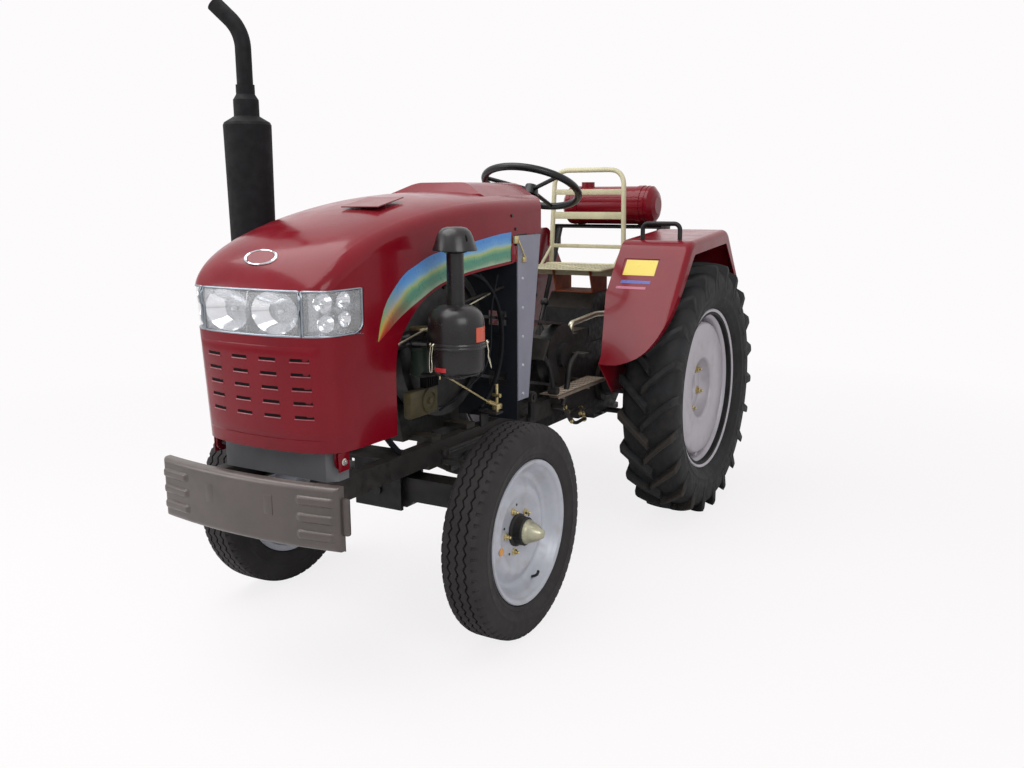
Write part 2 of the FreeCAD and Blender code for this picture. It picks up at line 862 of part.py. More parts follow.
def make_dash_pillars():
    """Two upright cheeks that taper downward, each with a flange along its rear edge."""
    front = FRONT + size("pillar_front_aft")
    low, top, wall = size("pillar_bottom"), size("pillar_top"), size("sheet")
    rear = [(front + 70, low), (front + 92, low + 146), (front + 157, top)]
    owner = body("dash_pillars")
    outline = [(front, low), *rear, (front, top)]
    lip = [*rear, (front + 153, top), (front + 88, low + 146), (front + 66, low)]
    for sign in (1, -1):
        face = size("pillar_x") * sign
        pad(owner, sketch(owner, "YZ_Plane", face, outline), wall, backward=sign < 0)
        pad(owner, sketch(owner, "YZ_Plane", face + wall * sign, lip), 26, backward=sign > 0)
    return owner


# --------------------------------------------------------------------------------------
# Transaxle and platform
# --------------------------------------------------------------------------------------
def make_gearbox_case():
    """The gearbox and the final drive's middle, one casting with a power take-off stub."""
    half = size("gearbox_half_width")
    front = REAR - size("gearbox_front_gap")
    shelf = size("shelf_z")
    owner = body("gearbox_case")
    outline = [
        (front, 470), (front + 90, 415), (REAR - 130, 415), (REAR - 110, 380), (REAR + 110, 380),
        (REAR + 165, 430), (REAR + 165, 700), (REAR - 150, 700), (REAR - 180, shelf),
        (front + 30, shelf), (front, shelf - 50),
    ]
    block = pad(owner, sketch(owner, "YZ_Plane", 0, outline), half * 2, symmetric=True)
    round_edges(owner, block, lambda edge: is_along(edge, Vector(0, 0, 1))
                and edge.CenterOfMass.y < float(front + 10), 20)
    top = size("rail_top")
    gauge = size("rail_half_gauge")
    brackets = [
        [(-gauge, REAR - 560), (gauge, REAR - 560), (gauge, REAR - 510), (-gauge, REAR - 510)],
        [(-gauge, REAR - 380), (gauge, REAR - 380), (gauge, REAR - 330), (-gauge, REAR - 330)],
    ]
    pad(owner, sketch(owner, "XY_Plane", top, *brackets), 16)
    bearing = sketch(owner, "XZ_Plane", -(REAR + 160), (0, 560, 60))
    pad(owner, bearing, 25, backward=True)
    stub = sketch(owner, "XZ_Plane", -(REAR + 180), (0, 560, 17.5))
    pad(owner, stub, 75, backward=True)
    return owner


def make_rear_axle_housing():
    """Two axle tubes, each flanged at the gearbox and at the fender."""
    half = size("gearbox_half_width") + size("seat_gap")
    end = size("fender_inner_x") - size("seat_gap")
    radius = size("axle_housing_radius")
    height = rear_axle_height()
    bore = size("axle_shaft_radius") + size("running_gap")
    owner = body("rear_axle_housing")
    for sign in (1, -1):
        outline = [
            (half * sign, bore), (half * sign, radius + 42), ((half + 18) * sign, radius + 42),
            ((half + 18) * sign, radius + 14), ((half + 70) * sign, radius), ((end - 18) * sign, radius),
            ((end - 18) * sign, radius + 40), (end * sign, radius + 40), (end * sign, bore),
        ]
        revolve(owner, sketch(owner, "XZ_Plane", 0, outline))
    return place(owner, 0, REAR, height)


def rear_axle_height():
    """The rear wheels stand on the ground, so their axle is a tyre's radius up."""
    return size("rear_tyre_radius")


def front_axle_height():
    """The front wheels stand on the ground, so their axle is a tyre's radius up."""
    return size("front_tyre_radius")


def make_lift_housing():
    """The hydraulic lift's case on the final drive."""
    low = 700 + size("seat_gap")
    top = size("lift_housing_top")
    half = size("gearbox_half_width")
    owner = body("lift_housing")
    outline = [
        (REAR - 150, low), (REAR + 160, low), (REAR + 190, low + 60), (REAR + 180, low + 150),
        (REAR + 110, top), (REAR - 90, top), (REAR - 140, top - 60),
    ]
    pad(owner, sketch(owner, "YZ_Plane", 0, outline), half * 2 - 10, symmetric=True)
    shaft = (REAR + size("rock_shaft_aft"), size("rock_shaft_z"))
    pad(owner, sketch(owner, "YZ_Plane", 0, (*shaft, 38)), half * 2 + 20, symmetric=True)
    pad(owner, sketch(owner, "YZ_Plane", 0, (*shaft, 20)), half * 2 + 90, symmetric=True)
    return owner


def make_step_shelf():
    """The plate over the gearbox, with its edges turned down."""
    low = size("shelf_z") + size("seat_gap")
    front = FRONT + size("clutch_pulley_aft") + 42
    rear = REAR - size("gearbox_front_gap") + 320
    owner = body("step_shelf")
    plan = [(-160, front), (160, front), (160, rear), (-160, rear)]
    pad(owner, sketch(owner, "XY_Plane", low, plan), 5)
    for sign in (1, -1):
        edge = [(155 * sign, front), (160 * sign, front), (160 * sign, rear), (155 * sign, rear)]
        pad(owner, sketch(owner, "XY_Plane", low + 1, edge), 26, backward=True)
    return owner


def make_foot_platforms():
    """The two checker plates beside the gearbox, each on the rail below it."""
    outer, top = size("platform_half_width"), size("platform_top")
    inner = size("gearbox_half_width") + 20
    front = FRONT + size("platform_front_aft")
    rear = REAR - size("platform_rear_gap")
    owner = body("foot_platforms")
    for sign in (1, -1):
        plan = [
            (inner * sign, front), (outer * sign, front), (outer * sign, rear - 130),
            ((outer - 75) * sign, rear), (inner * sign, rear),
        ]
        pad(owner, sketch(owner, "XY_Plane", top - 5, plan), 5)
        curb = [
            ((outer - 5) * sign, front), (outer * sign, front), (outer * sign, rear - 130),
            ((outer - 5) * sign, rear - 130),
        ]
        pad(owner, sketch(owner, "XY_Plane", top - 1, curb), 26, backward=True)
        for along in (front + 20, rear - 190):
            bearer = [
                (170 * sign, along), (outer * sign, along), (outer * sign, along + 30), (170 * sign, along + 30),
            ]
            gap = top - 5 - size("rail_top") - size("seat_gap")
            pad(owner, sketch(owner, "XY_Plane", top - 4, bearer), gap + 1, backward=True)
    return owner


def make_pedals():
    """The clutch pedal on the left and the brake pedal on the right."""
    pedals = []
    front = float(FRONT + size("pillar_front_aft"))
    rest = float(size("platform_top"))
    for sign in (1, -1):
        across = 254.0 * sign
        low = Vector(across, front + 290, rest + 14 + float(size("seat_gap")))
        knee = Vector(across, front + 255, rest + 110)
        top = Vector(across - 4 * sign, front + 190, rest + 175)
        arm = tube([low, knee, top], 9, 30)
        foot = Part.makeBox(60, 12, 76, Vector(-30, -12, -38))
        foot.rotate(Vector(0, 0, 0), Vector(1, 0, 0), -32)
        foot.translate(top)
        hub = Part.makeCylinder(14, 36, Vector(across - 18, low.y, low.z), Vector(1, 0, 0))
        pedals.append(arm.multiFuse([foot, hub]))
    return feature("foot_pedals", Part.makeCompound(pedals))


def make_control_levers():
    """The gear levers on the shelf and the chrome lever on the left."""
    shelf = float(size("shelf_z") + size("seat_gap")) + 5.3
    front = float(REAR - size("gearbox_front_gap"))
    levers = []
    for across, along, height, lean in ((-30, 200, 150, 20), (45, 220, 120, -14)):
        foot = Vector(across, front + along, shelf)
        top = foot + Vector(lean, 60, height)
        stem = tube([foot, foot + Vector(0, 0, 50), top], 6, 30)
        boot = Part.makeCone(22, 9, 34, foot)
        knob = Part.makeSphere(17, top)
        levers.append(stem.multiFuse([boot, knob]))
    return feature("control_levers", Part.makeCompound(levers))


def make_steering_column():
    """The gear housing on the rails, its cross shaft and the raked column tube."""
    hub = steering_hub()
    lean = math.radians(float(size("wheel_rake")))
    down = Vector(0, -math.sin(lean), -math.cos(lean))
    rail = float(size("rail_top") + size("seat_gap"))
    start = hub + down * 42
    run = (start.z - rail - 130) / -down.z
    column = Part.makeCylinder(21, run, start, down)
    foot = start + down * run
    pivot_y = float(pitman_pivot_y())
    block = Part.makeBox(130, foot.y + 45 - pivot_y + 40, 150, Vector(-65, pivot_y - 40, rail + 14))
    gauge = float(size("rail_half_gauge"))
    base = Part.makeBox(gauge * 2 - 4, 80, 14, Vector(2 - gauge, pivot_y - 30, rail))
    cross = float(size("pitman_x")) + 10
    shaft = Part.makeCylinder(15, cross, Vector(0, pivot_y, float(pitman_pivot_z())), Vector(1, 0, 0))
    stub = Part.makeCylinder(9.6, 24, Vector(cross, pivot_y, float(pitman_pivot_z())), Vector(1, 0, 0))
    top = Part.makeCylinder(9, 42 - float(size("seat_gap")), start + down * 10, down * -1)
    return feature("steering_column", column.multiFuse([block, base, shaft, stub, top]).removeSplitter())


def steering_hub():
    """The middle of the steering wheel's rim."""
    pillar = FRONT + size("pillar_front_aft")
    along = pillar + (size("wheelbase") - size("pillar_front_aft") - size("wheel_gap"))
    return Vector(0, float(along), float(size("wheel_z")))


def pitman_pivot_y():
    return FRONT + size("pitman_aft")


def pitman_pivot_z():
    return size("link_level") + size("steer_arm")


# --------------------------------------------------------------------------------------
# Seat, tank and fenders
# --------------------------------------------------------------------------------------
def make_seat_bracket():
    """The folded bracket that carries the seat on the lift case."""
    low = size("lift_housing_top") + size("seat_gap")
    height = size("seat_z") - size("sheet") - size("seat_gap") - low
    front, back = REAR - 85, REAR + 60
    owner = body("seat_bracket")
    for sign in (1, -1):
        outline = [(front, low), (back, low), (back, low + height), (front - 35, low + height)]
        pad(owner, sketch(owner, "YZ_Plane", 84 * sign, outline), 5, backward=sign < 0)
    base = [(-89, front), (89, front), (89, back), (-89, back)]
    pad(owner, sketch(owner, "XY_Plane", low, base), 6)
    top = [(-89, front - 35), (89, front - 35), (89, back), (-89, back)]
    pad(owner, sketch(owner, "XY_Plane", low + height - 6, top), 6)
    return owner


def soft_rectangle(half, front, back, radius):
    """The corners of a rectangle about the Y axis, each corner turned in four short sides."""
    corners = []
    quarters = ((half - radius, front + radius, -90), (half - radius, back - radius, 0),
                (radius - half, back - radius, 90), (radius - half, front + radius, 180))
    for across, along, start in quarters:
        for step in range(5):
            angle = math.radians(start + step * 22.5)
            corners.append((across + radius * math.cos(angle), along + radius * math.sin(angle)))
    return corners


def make_seat_pan():
    """The pressed pan with its edge turned down."""
    half, top = size("seat_half_width"), size("seat_z")
    front, back = REAR - size("seat_front_gap"), REAR + size("seat_rear_aft")
    wall, corner = size("sheet"), Size.of(22)
    owner = body("seat_pan")
    plan = soft_rectangle(half, front, back, corner)
    pad(owner, sketch(owner, "XY_Plane", top, plan), 26, backward=True)
    inner = soft_rectangle(half - wall, front + wall, back - wall, corner - wall)
    pocket(owner, sketch(owner, "XY_Plane", top - wall, inner), 40)
    return owner


def make_seat_frame():
    """The tube hoop behind the pan with its rungs, leaning back."""
    top, base = float(size("seat_back_top")), float(size("seat_z"))
    back = float(REAR + size("seat_rear_aft"))
    radius = float(size("seat_tube_radius"))
    low_half, high_half = 176.0, 140.0
    lean = 18.0
    foot = base - 20
    start_y = back + radius + float(size("seat_gap"))

    def at(level):
        """Half width and Y of the hoop at a level."""
        share = (level - foot) / (top - foot)
        return low_half + (high_half - low_half) * share, start_y + lean * share

    hoop_points = []
    for sign in (1, -1):
        half, along = at(foot)
        side = [Vector(half * sign, along, foot)]
        half, along = at(top)
        side.append(Vector(half * sign, along, top))
        hoop_points.extend(side if sign > 0 else side[::-1])
    hoop = tube(hoop_points, radius, 46)
    rungs = []
    for level in (base + 20, base + 78, base + 212, base + 298):
        half, along = at(level)
        rungs.append(Part.makeCylinder(radius - 2, half * 2, Vector(-half, along, level), Vector(1, 0, 0)))
    return feature("seat_frame", hoop.multiFuse(rungs))


def make_fuel_tank():
    """The red cross drum with domed ends, weld rings and a filler neck."""
    half, radius = size("tank_half_length"), size("tank_radius")
    owner = body("fuel_tank")
    outline = [
        (-half, 0), (-half, radius * 0.45), (-half + 9, radius * 0.75), (-half + 26, radius),
        (-half + 40, radius), (-half + 40, radius + 2), (-half + 46, radius + 2), (-half + 46, radius),
        (half - 46, radius), (half - 46, radius + 2), (half - 40, radius + 2), (half - 40, radius),
        (half - 26, radius), (half - 9, radius * 0.75), (half, radius * 0.45), (half, 0),
    ]
    revolve(owner, sketch(owner, "XZ_Plane", 0, outline))
    pad(owner, sketch(owner, "XY_Plane", radius - 6, (-120, 0, 30)), 26)
    return place(owner, 0, REAR + size("tank_aft"), size("tank_z"))


def make_tank_bracket():
    """Two straps under the drum on posts that stand on the lift case."""
    radius = float(size("tank_radius") + size("seat_gap"))
    along = float(REAR + size("tank_aft"))
    level = float(size("tank_z"))
    foot = float(size("lift_housing_top") + size("seat_gap"))
    posts = []
    base_y = float(REAR) + 62
    for sign in (1, -1):
        across = 92.0 * sign - 15
        ring = Part.makeCylinder(radius + 6, 30, Vector(across, along, level), Vector(1, 0, 0))
        core = Part.makeCylinder(radius, 40, Vector(across - 5, along, level), Vector(1, 0, 0))
        above = Part.makeBox(40, 400, 200, Vector(across - 5, along - 200, level))
        saddle = ring.cut(core).cut(above)
        points = [
            Vector(across, base_y, foot), Vector(across, base_y + 45, foot),
            Vector(across, along + 20, level - radius - 1), Vector(across, along - 30, level - radius - 1),
        ]
        arm = extruded(points, Vector(30, 0, 0)).cut(core)
        posts.append(saddle.fuse(arm))
    return feature("tank_bracket", Part.makeCompound(posts))


def rounded_wire(points, radii, across):
    """A closed wire in a YZ plane, with each corner rounded by its own radius."""
    edges = []
    count = len(points)
    corners = [Vector(across, along, up) for along, up in points]
    joints = []
    for index, corner in enumerate(corners):
        before, after = corners[index - 1], corners[(index + 1) % count]
        radius = radii[index]
        if radius == 0:
            joints.append((corner, None, corner))
            continue
        inward = (before - corner).normalize()
        outward = (after - corner).normalize()
        half = inward.getAngle(outward) / 2
        setback = radius / math.tan(half)
        middle = (inward + outward).normalize()
        centre = corner + middle * (radius / math.sin(half))
        joints.append((corner + inward * setback, centre - middle * radius, corner + outward * setback))
    for index, (first, middle, last) in enumerate(joints):
        if middle is not None:
            edges.append(Part.Arc(first, middle, last).toShape())
        following = joints[(index + 1) % count][0]
        if (following - last).Length > 1e-6:
            edges.append(Part.LineSegment(last, following).toShape())
    return Part.Wire(edges)


# The fender's side view as (aft of the rear axle, level), and how far each corner's lip is drawn in.
FENDER_SIDE = [(-575, 690), (-220, 1130), (220, 1165), (390, 945)]
FENDER_LIP_DRAW = [26, 52, 56, 34]


def fender_region(insets, across, tail_drop):
    """The side view of a fender, drawn in by an inset at each corner of its top."""
    rear = float(REAR)
    top = [Vector(0, rear + along, up) for along, up in FENDER_SIDE]
    moved = []
    for index, (point, inset) in enumerate(zip(top, insets)):
        directions = []
        if index > 0:
            directions.append((point - top[index - 1]).normalize())
        if index < len(top) - 1:
            directions.append((top[index + 1] - point).normalize())
        normals = [Vector(0, heading.z, -heading.y) for heading in directions]
        bisector = normals[0]
        if len(normals) == 2:
            bisector = (normals[0] + normals[1]).normalize()
        moved.append(point + bisector * (inset / bisector.dot(normals[0])))
    first_run = (moved[1] - moved[0]).normalize()
    last_run = (moved[-1] - moved[-2]).normalize()
    moved[0] = moved[0] - first_run * tail_drop
    moved[-1] = moved[-1] + last_run * tail_drop
    low = [(rear + 300 + tail_drop, 800 - tail_drop), (rear + 120, 560.0 - tail_drop),
           (rear - 450 - tail_drop, 560.0 - tail_drop)]
    points = [(point.y, point.z) for point in moved] + low
    radii = [0, max(90 - insets[1], 20), max(60 - insets[2], 12), 0, 0, 0, 0]
    return Part.Face(rounded_wire(points, radii, across))


def fender_front_view(inset):
    """The fender seen from ahead: a leaning inner panel and an outer side that sweeps in below."""
    inner, outer = float(size("fender_inner_x")), float(size("fender_inner_x") + size("fender_width"))
    flare = float(size("fender_flare"))
    low, top = 540 - inset * 4, 1260
    run = [
        Vector(outer - inset, 0, 1010), Vector(outer - inset - 2, 0, 930), Vector(outer - inset - 8, 0, 865),
        Vector(outer - inset - 21, 0, 815), Vector(outer - inset - 42, 0, 768 + inset * 0.5),
        Vector(outer - inset - 80, 0, 724 + inset * 0.8), Vector(outer - 135, 0, 697 + inset),
        Vector(inner + 40, 0, 688 + inset),
    ]
    sweep = Part.BSplineCurve()
    sweep.interpolate(run, InitialTangent=Vector(0, 0, -1), FinalTangent=Vector(-1, 0, 0))
    corners = [
        run[-1], Vector(inner + 40, 0, low), Vector(inner + inset, 0, low), Vector(inner + inset, 0, 720),
        Vector(inner - flare + inset, 0, 935), Vector(inner - flare + inset, 0, top),
        Vector(outer - inset, 0, top), run[0],
    ]
    edges = [sweep.toShape()]
    for first, last in zip(corners, corners[1:]):
        edges.append(Part.LineSegment(first, last).toShape())
    face = Part.Face(Part.Wire(edges))
    face.translate(Vector(0, float(REAR) - 900, 0))
    return face.extrude(Vector(0, 1800, 0))


def fender_form(inset, tail_drop):
    """The fender's outer form as one solid, drawn in all round by an inset."""
    start = float(size("fender_inner_x")) - 100
    outer = float(size("fender_inner_x") + size("fender_width")) - inset
    form = fender_region([inset] * 4, start, tail_drop).extrude(Vector(outer - start, 0, 0))
    chain = []
    for edge in form.Edges:
        reach = edge.BoundBox
        if reach.XMin > outer - 1 and reach.ZMax > 900:
            chain.append(edge)
    form = form.makeFillet(float(size("fender_shoulder")) - inset, chain)
    return form.common(fender_front_view(inset))


def plaque_recess(margin):
    """The shallow pocket for a plate in the upper part of the fender's front face."""
    width, height, corner = 150 + margin * 2, 80 + margin * 2, 9
    face = soft_outline(width, height, corner)
    pocket_block = face.extrude(Vector(0, 0, 40))
    first, last = FENDER_SIDE[:2]
    slope = math.atan2(last[1] - first[1], last[0] - first[0])
    pocket_block.rotate(Vector(0, 0, 0), Vector(1, 0, 0), math.degrees(slope))
    share = 0.78
    along = first[0] + (last[0] - first[0]) * share
    level = first[1] + (last[1] - first[1]) * share
    outward = Vector(0, -math.sin(slope), math.cos(slope))
    across = float(size("fender_inner_x")) + 47
    foot = Vector(across, float(REAR) + along, level) - outward * (2.5 + margin)
    pocket_block.translate(foot)
    return pocket_block


def soft_outline(width, height, corner):
    """A face in the XY plane: a rectangle round the origin with rounded corners."""
    half_width, half_height = width / 2, height / 2
    points = [(-half_width, -half_height), (half_width, -half_height), (half_width, half_height),
              (-half_width, half_height)]
    wire = rounded_wire(points, [corner] * 4, 0)
    face = Part.Face(wire)
    face.rotate(Vector(0, 0, 0), Vector(0, 1, 0), 90)
    face.rotate(Vector(0, 0, 0), Vector(0, 0, 1), -90)
    return face


def make_fender(side):
    """A folded fender: top sheet, down-turned outer lip and inner side panel."""
    sign = SIDES[side]
    wall = float(size("sheet"))
    inner, width = float(size("fender_inner_x")), float(size("fender_width"))
    opening = fender_region(FENDER_LIP_DRAW, inner + wall, 60).extrude(Vector(width + 40, 0, 0))
    notch = Part.makeCylinder(float(size("axle_housing_radius")) + 4, 60,
                              Vector(inner - 20, float(REAR), float(rear_axle_height())), Vector(1, 0, 0))
    outside = fender_form(0, 0).cut(plaque_recess(0))
    inside = fender_form(wall, 30).cut(plaque_recess(wall))
    shape = outside.cut(inside).cut(opening).cut(notch)
    if sign < 0:
        shape = shape.mirror(Vector(0, 0, 0), Vector(1, 0, 0))
    return feature(f"fender_{side}", shape)


def make_grab_handles():
    """A black rail across the front top corner of each fender."""
    handles = []
    inner, width = float(size("fender_inner_x")), float(size("fender_width"))
    for sign in (1, -1):
        along = float(REAR) - 170
        deck = 1134 + 0.8 + float(size("seat_gap"))
        low, high = (inner + 2) * sign, (inner + width - 72) * sign
        points = [
            Vector(low, along, deck), Vector(low, along, deck + 62), Vector(high, along, deck + 62),
            Vector(high, along, deck),
        ]
        handles.append(tube(points, 9, 24))
    return feature("grab_handles", Part.makeCompound(handles))


# --------------------------------------------------------------------------------------
# Hood
# --------------------------------------------------------------------------------------
# The hood seen from above, as shares of its half width and millimetres aft of the nose.
HOOD_PLAN = [
    (0, 0), (0.33, 4), (0.61, 18), (0.743, 31), (0.844, 54), (0.897, 92), (0.916, 140), (0.926, 300),
    (0.97, 650), (1, 970),
]
# The edge of the arch in each side, as millimetres aft of the front axle and level.
ARCH_EDGE = [
    (-281, 792), (-278, 859), (-266, 903), (-241, 940), (-201, 979), (-150, 1016), (-63, 1050),
    (59, 1073), (177, 1084), (345, 1095),
]


def smooth_edge(points, tail):
    """A wire in the YZ plane: a smooth line through the points, closed by a tail of corners."""
    front = float(FRONT)
    run = [Vector(-400, front + along, up) for along, up in points]
    rest = [Vector(-400, front + along, up) for along, up in tail]
    curve = Part.BSplineCurve()
    curve.interpolate(run)
    edges = [curve.toShape()]
    corners = [run[-1], *rest, run[0]]
    for first, last in zip(corners, corners[1:]):
        edges.append(Part.LineSegment(first, last).toShape())
    return Part.Face(Part.Wire(edges)).extrude(Vector(800, 0, 0))


def hood_prism(inset, low, high):
    """The hood's plan between two levels; the nose leans back towards its lower edge."""
    slope = float(size("hood_tuck")) / float(size("lamp_bottom") - size("hood_bottom"))
    tuck = slope * (float(size("lamp_bottom")) - low)
    half = float(size("hood_half_width")) - inset
    nose = float(FRONT - size("hood_fore")) + inset + tuck
    rear = float(FRONT + size("hood_aft_centre")) + 90
    side = [Vector(half * share, nose + aft, low) for share, aft in HOOD_PLAN[::-1]]
    points = side + [mirrored(point) for point in side[-2::-1]]
    curve = Part.BSplineCurve()
    curve.interpolate(points, InitialTangent=Vector(0, -1, 0), FinalTangent=Vector(0, 1, 0))
    corners = [points[-1], Vector(-half, rear, low), Vector(half, rear, low), points[0]]
    edges = [curve.toShape()]
    for first, last in zip(corners, corners[1:]):
        edges.append(Part.LineSegment(first, last).toShape())
    return Part.Face(Part.Wire(edges)).extrude(Vector(0, -slope * (high - low), high - low))


def hood_top_curve():
    """The top line as (Y, Z) from the nose to the rear edge."""
    front = float(FRONT)
    nose = front - float(size("hood_fore"))
    aft = front + float(size("hood_aft_centre"))
    low, middle, high = (float(size(name)) for name in ("hood_front_top", "hood_mid_top", "hood_rear_top"))
    rise = middle - low
    return [
        (nose - 30, low - rise * 0.50), (nose + 24, low), (nose + 70, low + rise * 0.27),
        (nose + 200, low + rise * 0.585), (nose + 398, low + rise * 0.82), (nose + 690, middle),
        (nose + 970, high), (aft + 80, high),
    ]


def hood_form(inset, low):
    """The hood's outer form as one solid, drawn in all round by an inset."""
    crown = float(size("hood_crown"))
    half = float(size("hood_half_width"))
    line = Part.BSplineCurve()
    line.interpolate([Vector(0, along, up - inset) for along, up in hood_top_curve()])
    rows = []
    stations = line.discretize(Number=16)
    for index, middle in enumerate(stations):
        # The crown flattens and its edges square up towards the rear.
        aft = index / (len(stations) - 1)
        rise, roll = crown - 12 * aft, 45 - 38 * aft
        row = []
        for step in range(-5, 6):
            share = step / 5 * 1.15
            row.append(middle + Vector(half * share, 0, -rise * share ** 2 - roll * share ** 6))
        rows.append(row)
    crest = Part.BSplineSurface()
    crest.interpolate(rows)
    above = crest.toShape().extrude(Vector(0, 0, 900))
    form = hood_prism(inset, low, 1400).cut(above)
    shoulder = max(float(size("hood_shoulder")) - inset, 10)
    rear = float(FRONT + size("hood_aft_centre")) + 50
    chain = []
    for edge in form.Edges:
        reach = edge.BoundBox
        if reach.ZMin < low + 5 or reach.YMin > rear:
            continue
        if is_upright(edge):
            continue
        chain.append(edge)
    return form.makeFillet(shoulder, chain)


def hood_hump(inset):
    """The raised panel on the rear of the hood's top, with a sloped front."""
    top = float(size("hood_hump_top")) - inset
    shoulder, foot, low = 100 - inset * 0.5, 215 - inset, top - 54
    front = float(FRONT + size("hood_hump_aft")) + inset
    rear = float(FRONT + size("hood_aft_centre")) + 70
    points = [(-foot, low - 40), (-foot, low), (-shoulder, top), (shoulder, top), (foot, low), (foot, low - 40)]
    wire = rounded_wire(points, [0, 0, 120, 120, 0, 0], 0)
    panel = Part.Face(wire).extrude(Vector(rear - front, 0, 0))
    panel.rotate(Vector(0, 0, 0), Vector(0, 0, 1), -90)
    panel.translate(Vector(0, rear, 0))
    slope = [
        Vector(-400, front - 200, low - 60), Vector(-400, front, low - 60), Vector(-400, front, top - 38),
        Vector(-400, front + 46, top), Vector(-400, front + 60, top + 12), Vector(-400, front - 200, top + 12),
    ]
    return panel.cut(extruded(slope, Vector(800, 0, 0)))


def hood_side_cut():
    """What is taken out of both sides: the open arch over the engine and the step behind it."""
    bottom = float(size("hood_bottom")) - 40
    pillar = float(size("pillar_front_aft"))
    step = float(size("pillar_top")) + 5
    tail = [(pillar - 5, step), (900, step), (900, bottom), (ARCH_EDGE[0][0], bottom)]
    return smooth_edge(ARCH_EDGE, tail)


def hood_rear_cut():
    """The region behind the curved rear edge."""
    front = float(FRONT)
    side, centre = front + float(size("hood_aft_side")), front + float(size("hood_aft_centre"))
    half = float(size("hood_half_width")) + 4
    arc = Part.Arc(Vector(half, side, 900), Vector(0, centre, 900), Vector(-half, side, 900)).toShape()
    corners = [Vector(-half, side, 900), Vector(-400, side, 900), Vector(-400, centre + 300, 900),
               Vector(400, centre + 300, 900), Vector(400, side, 900), Vector(half, side, 900)]
    edges = [arc]
    for first, last in zip(corners, corners[1:]):
        edges.append(Part.LineSegment(first, last).toShape())
    return Part.Face(Part.Wire(edges)).extrude(Vector(0, 0, 700))


def lamp_region(gap):
    """The band round the nose that the headlamps fill, less a gap, with soft lower corners."""
    nose = float(FRONT - size("hood_fore"))
    low, top = float(size("lamp_bottom")) + gap, float(size("lamp_top")) - gap
    front, rear, corner = nose - 90, nose + 180 - gap, float(size("lamp_corner"))
    points = [(front, low), (rear, low), (rear, top), (front, top)]
    side = rounded_wire(points, [0, corner, 0, 0], -350)
    return Part.Face(side).extrude(Vector(700, 0, 0))


def grille_slots():
    """Rows of short slots with round ends in the nose."""
    length, height = float(size("slot_length")), float(size("slot_height"))
    nose = float(FRONT - size("hood_fore"))
    slots = []
    for row in range(5):
        level = float(size("slot_top_z")) - row * float(size("slot_pitch_z"))
        for column in range(4):
            across = (column - 1.5) * float(size("slot_pitch_x"))
            reach = (length - height) / 2
            bar = Part.makeBox(reach * 2, 120, height, Vector(across - reach, nose - 40, level - height / 2))
            ends = [Part.makeCylinder(height / 2, 120, Vector(across + end, nose - 40, level), Vector(0, 1, 0))
                    for end in (-reach, reach)]
            slots.append(bar.multiFuse(ends))
    return Part.makeCompound(slots)


def filler_lid():
    """The lid over the water filler on the hood's top, lifted at its rear, on a short neck."""
    width, length = float(size("filler_lid_width")), float(size("filler_lid_length"))
    lid = Part.makeBox(width, length, 3)
    neck = Part.makeCylinder(36, 41, Vector(width / 2, length / 2, -40))
    whole = lid.fuse(neck)
    whole.rotate(Vector(0, 0, 0), Vector(1, 0, 0), 10)
    whole.rotate(Vector(0, 0, 0), Vector(0, 0, 1), 6)
    whole.translate(Vector(float(size("filler_lid_x")), float(FRONT - size("filler_lid_fore")), 1281))
    return whole


def hood_ear():
    """A tab that hangs from the hood's lower corner and turns on the hinge pin."""
    inset = float(size("hood_wall")) - 2
    bottom = float(size("hood_bottom"))
    pin_y, pin_z = float(FRONT - size("hinge_fore")), float(size("hinge_z"))
    across = float(size("nose_half_width")) + 8
    hanger = Part.makeBox(6, 44, bottom - pin_z + 1, Vector(across, pin_y - 22, pin_z))
    tip = Part.makeCylinder(22, 6, Vector(across, pin_y, pin_z), Vector(1, 0, 0))
    under = hood_prism(inset, bottom, bottom + 60)
    web = Part.makeBox(40, 44, 60, Vector(across, pin_y - 22, bottom)).common(under)
    bore = Part.makeCylinder(float(size("hinge_pin_radius") + size("running_gap")), 20,
                             Vector(across - 5, pin_y, pin_z), Vector(1, 0, 0))
    return hanger.multiFuse([tip, web]).cut(bore)


def make_hood():
    """The hood shell on its ears, and the headlamps let into its nose."""
    wall = float(size("hood_wall"))
    bottom = float(size("hood_bottom"))
    shell = hood_form(0, bottom).cut(hood_form(wall, bottom - 20))
    cap = hood_hump(0).cut(hood_form(1, bottom))
    shell = shell.fuse(cap).fuse(filler_lid())
    shell = shell.cut(hood_side_cut()).cut(hood_rear_cut()).cut(lamp_region(0)).cut(grille_slots())
    right_ear = hood_ear()
    left_ear = right_ear.mirror(Vector(0, 0, 0), Vector(1, 0, 0))
    shell = shell.multiFuse([right_ear, left_ear])
    gap = float(size("lamp_gap"))
    lens_outer = hood_form(1.5, bottom)
    lens_inner = hood_form(float(size("lamp_thickness")), bottom - 20)
    lamps = lens_outer.cut(lens_inner).common(lamp_region(gap))
    nose = float(FRONT - size("hood_fore"))
    split = float(size("lamp_split_x"))
    for across in (-split, split):
        lamps = lamps.cut(Part.makeBox(3, 130, 300, Vector(across - 1.5, nose - 90, 880)))
    return feature("hood_shell", shell), feature("headlamps", lamps)


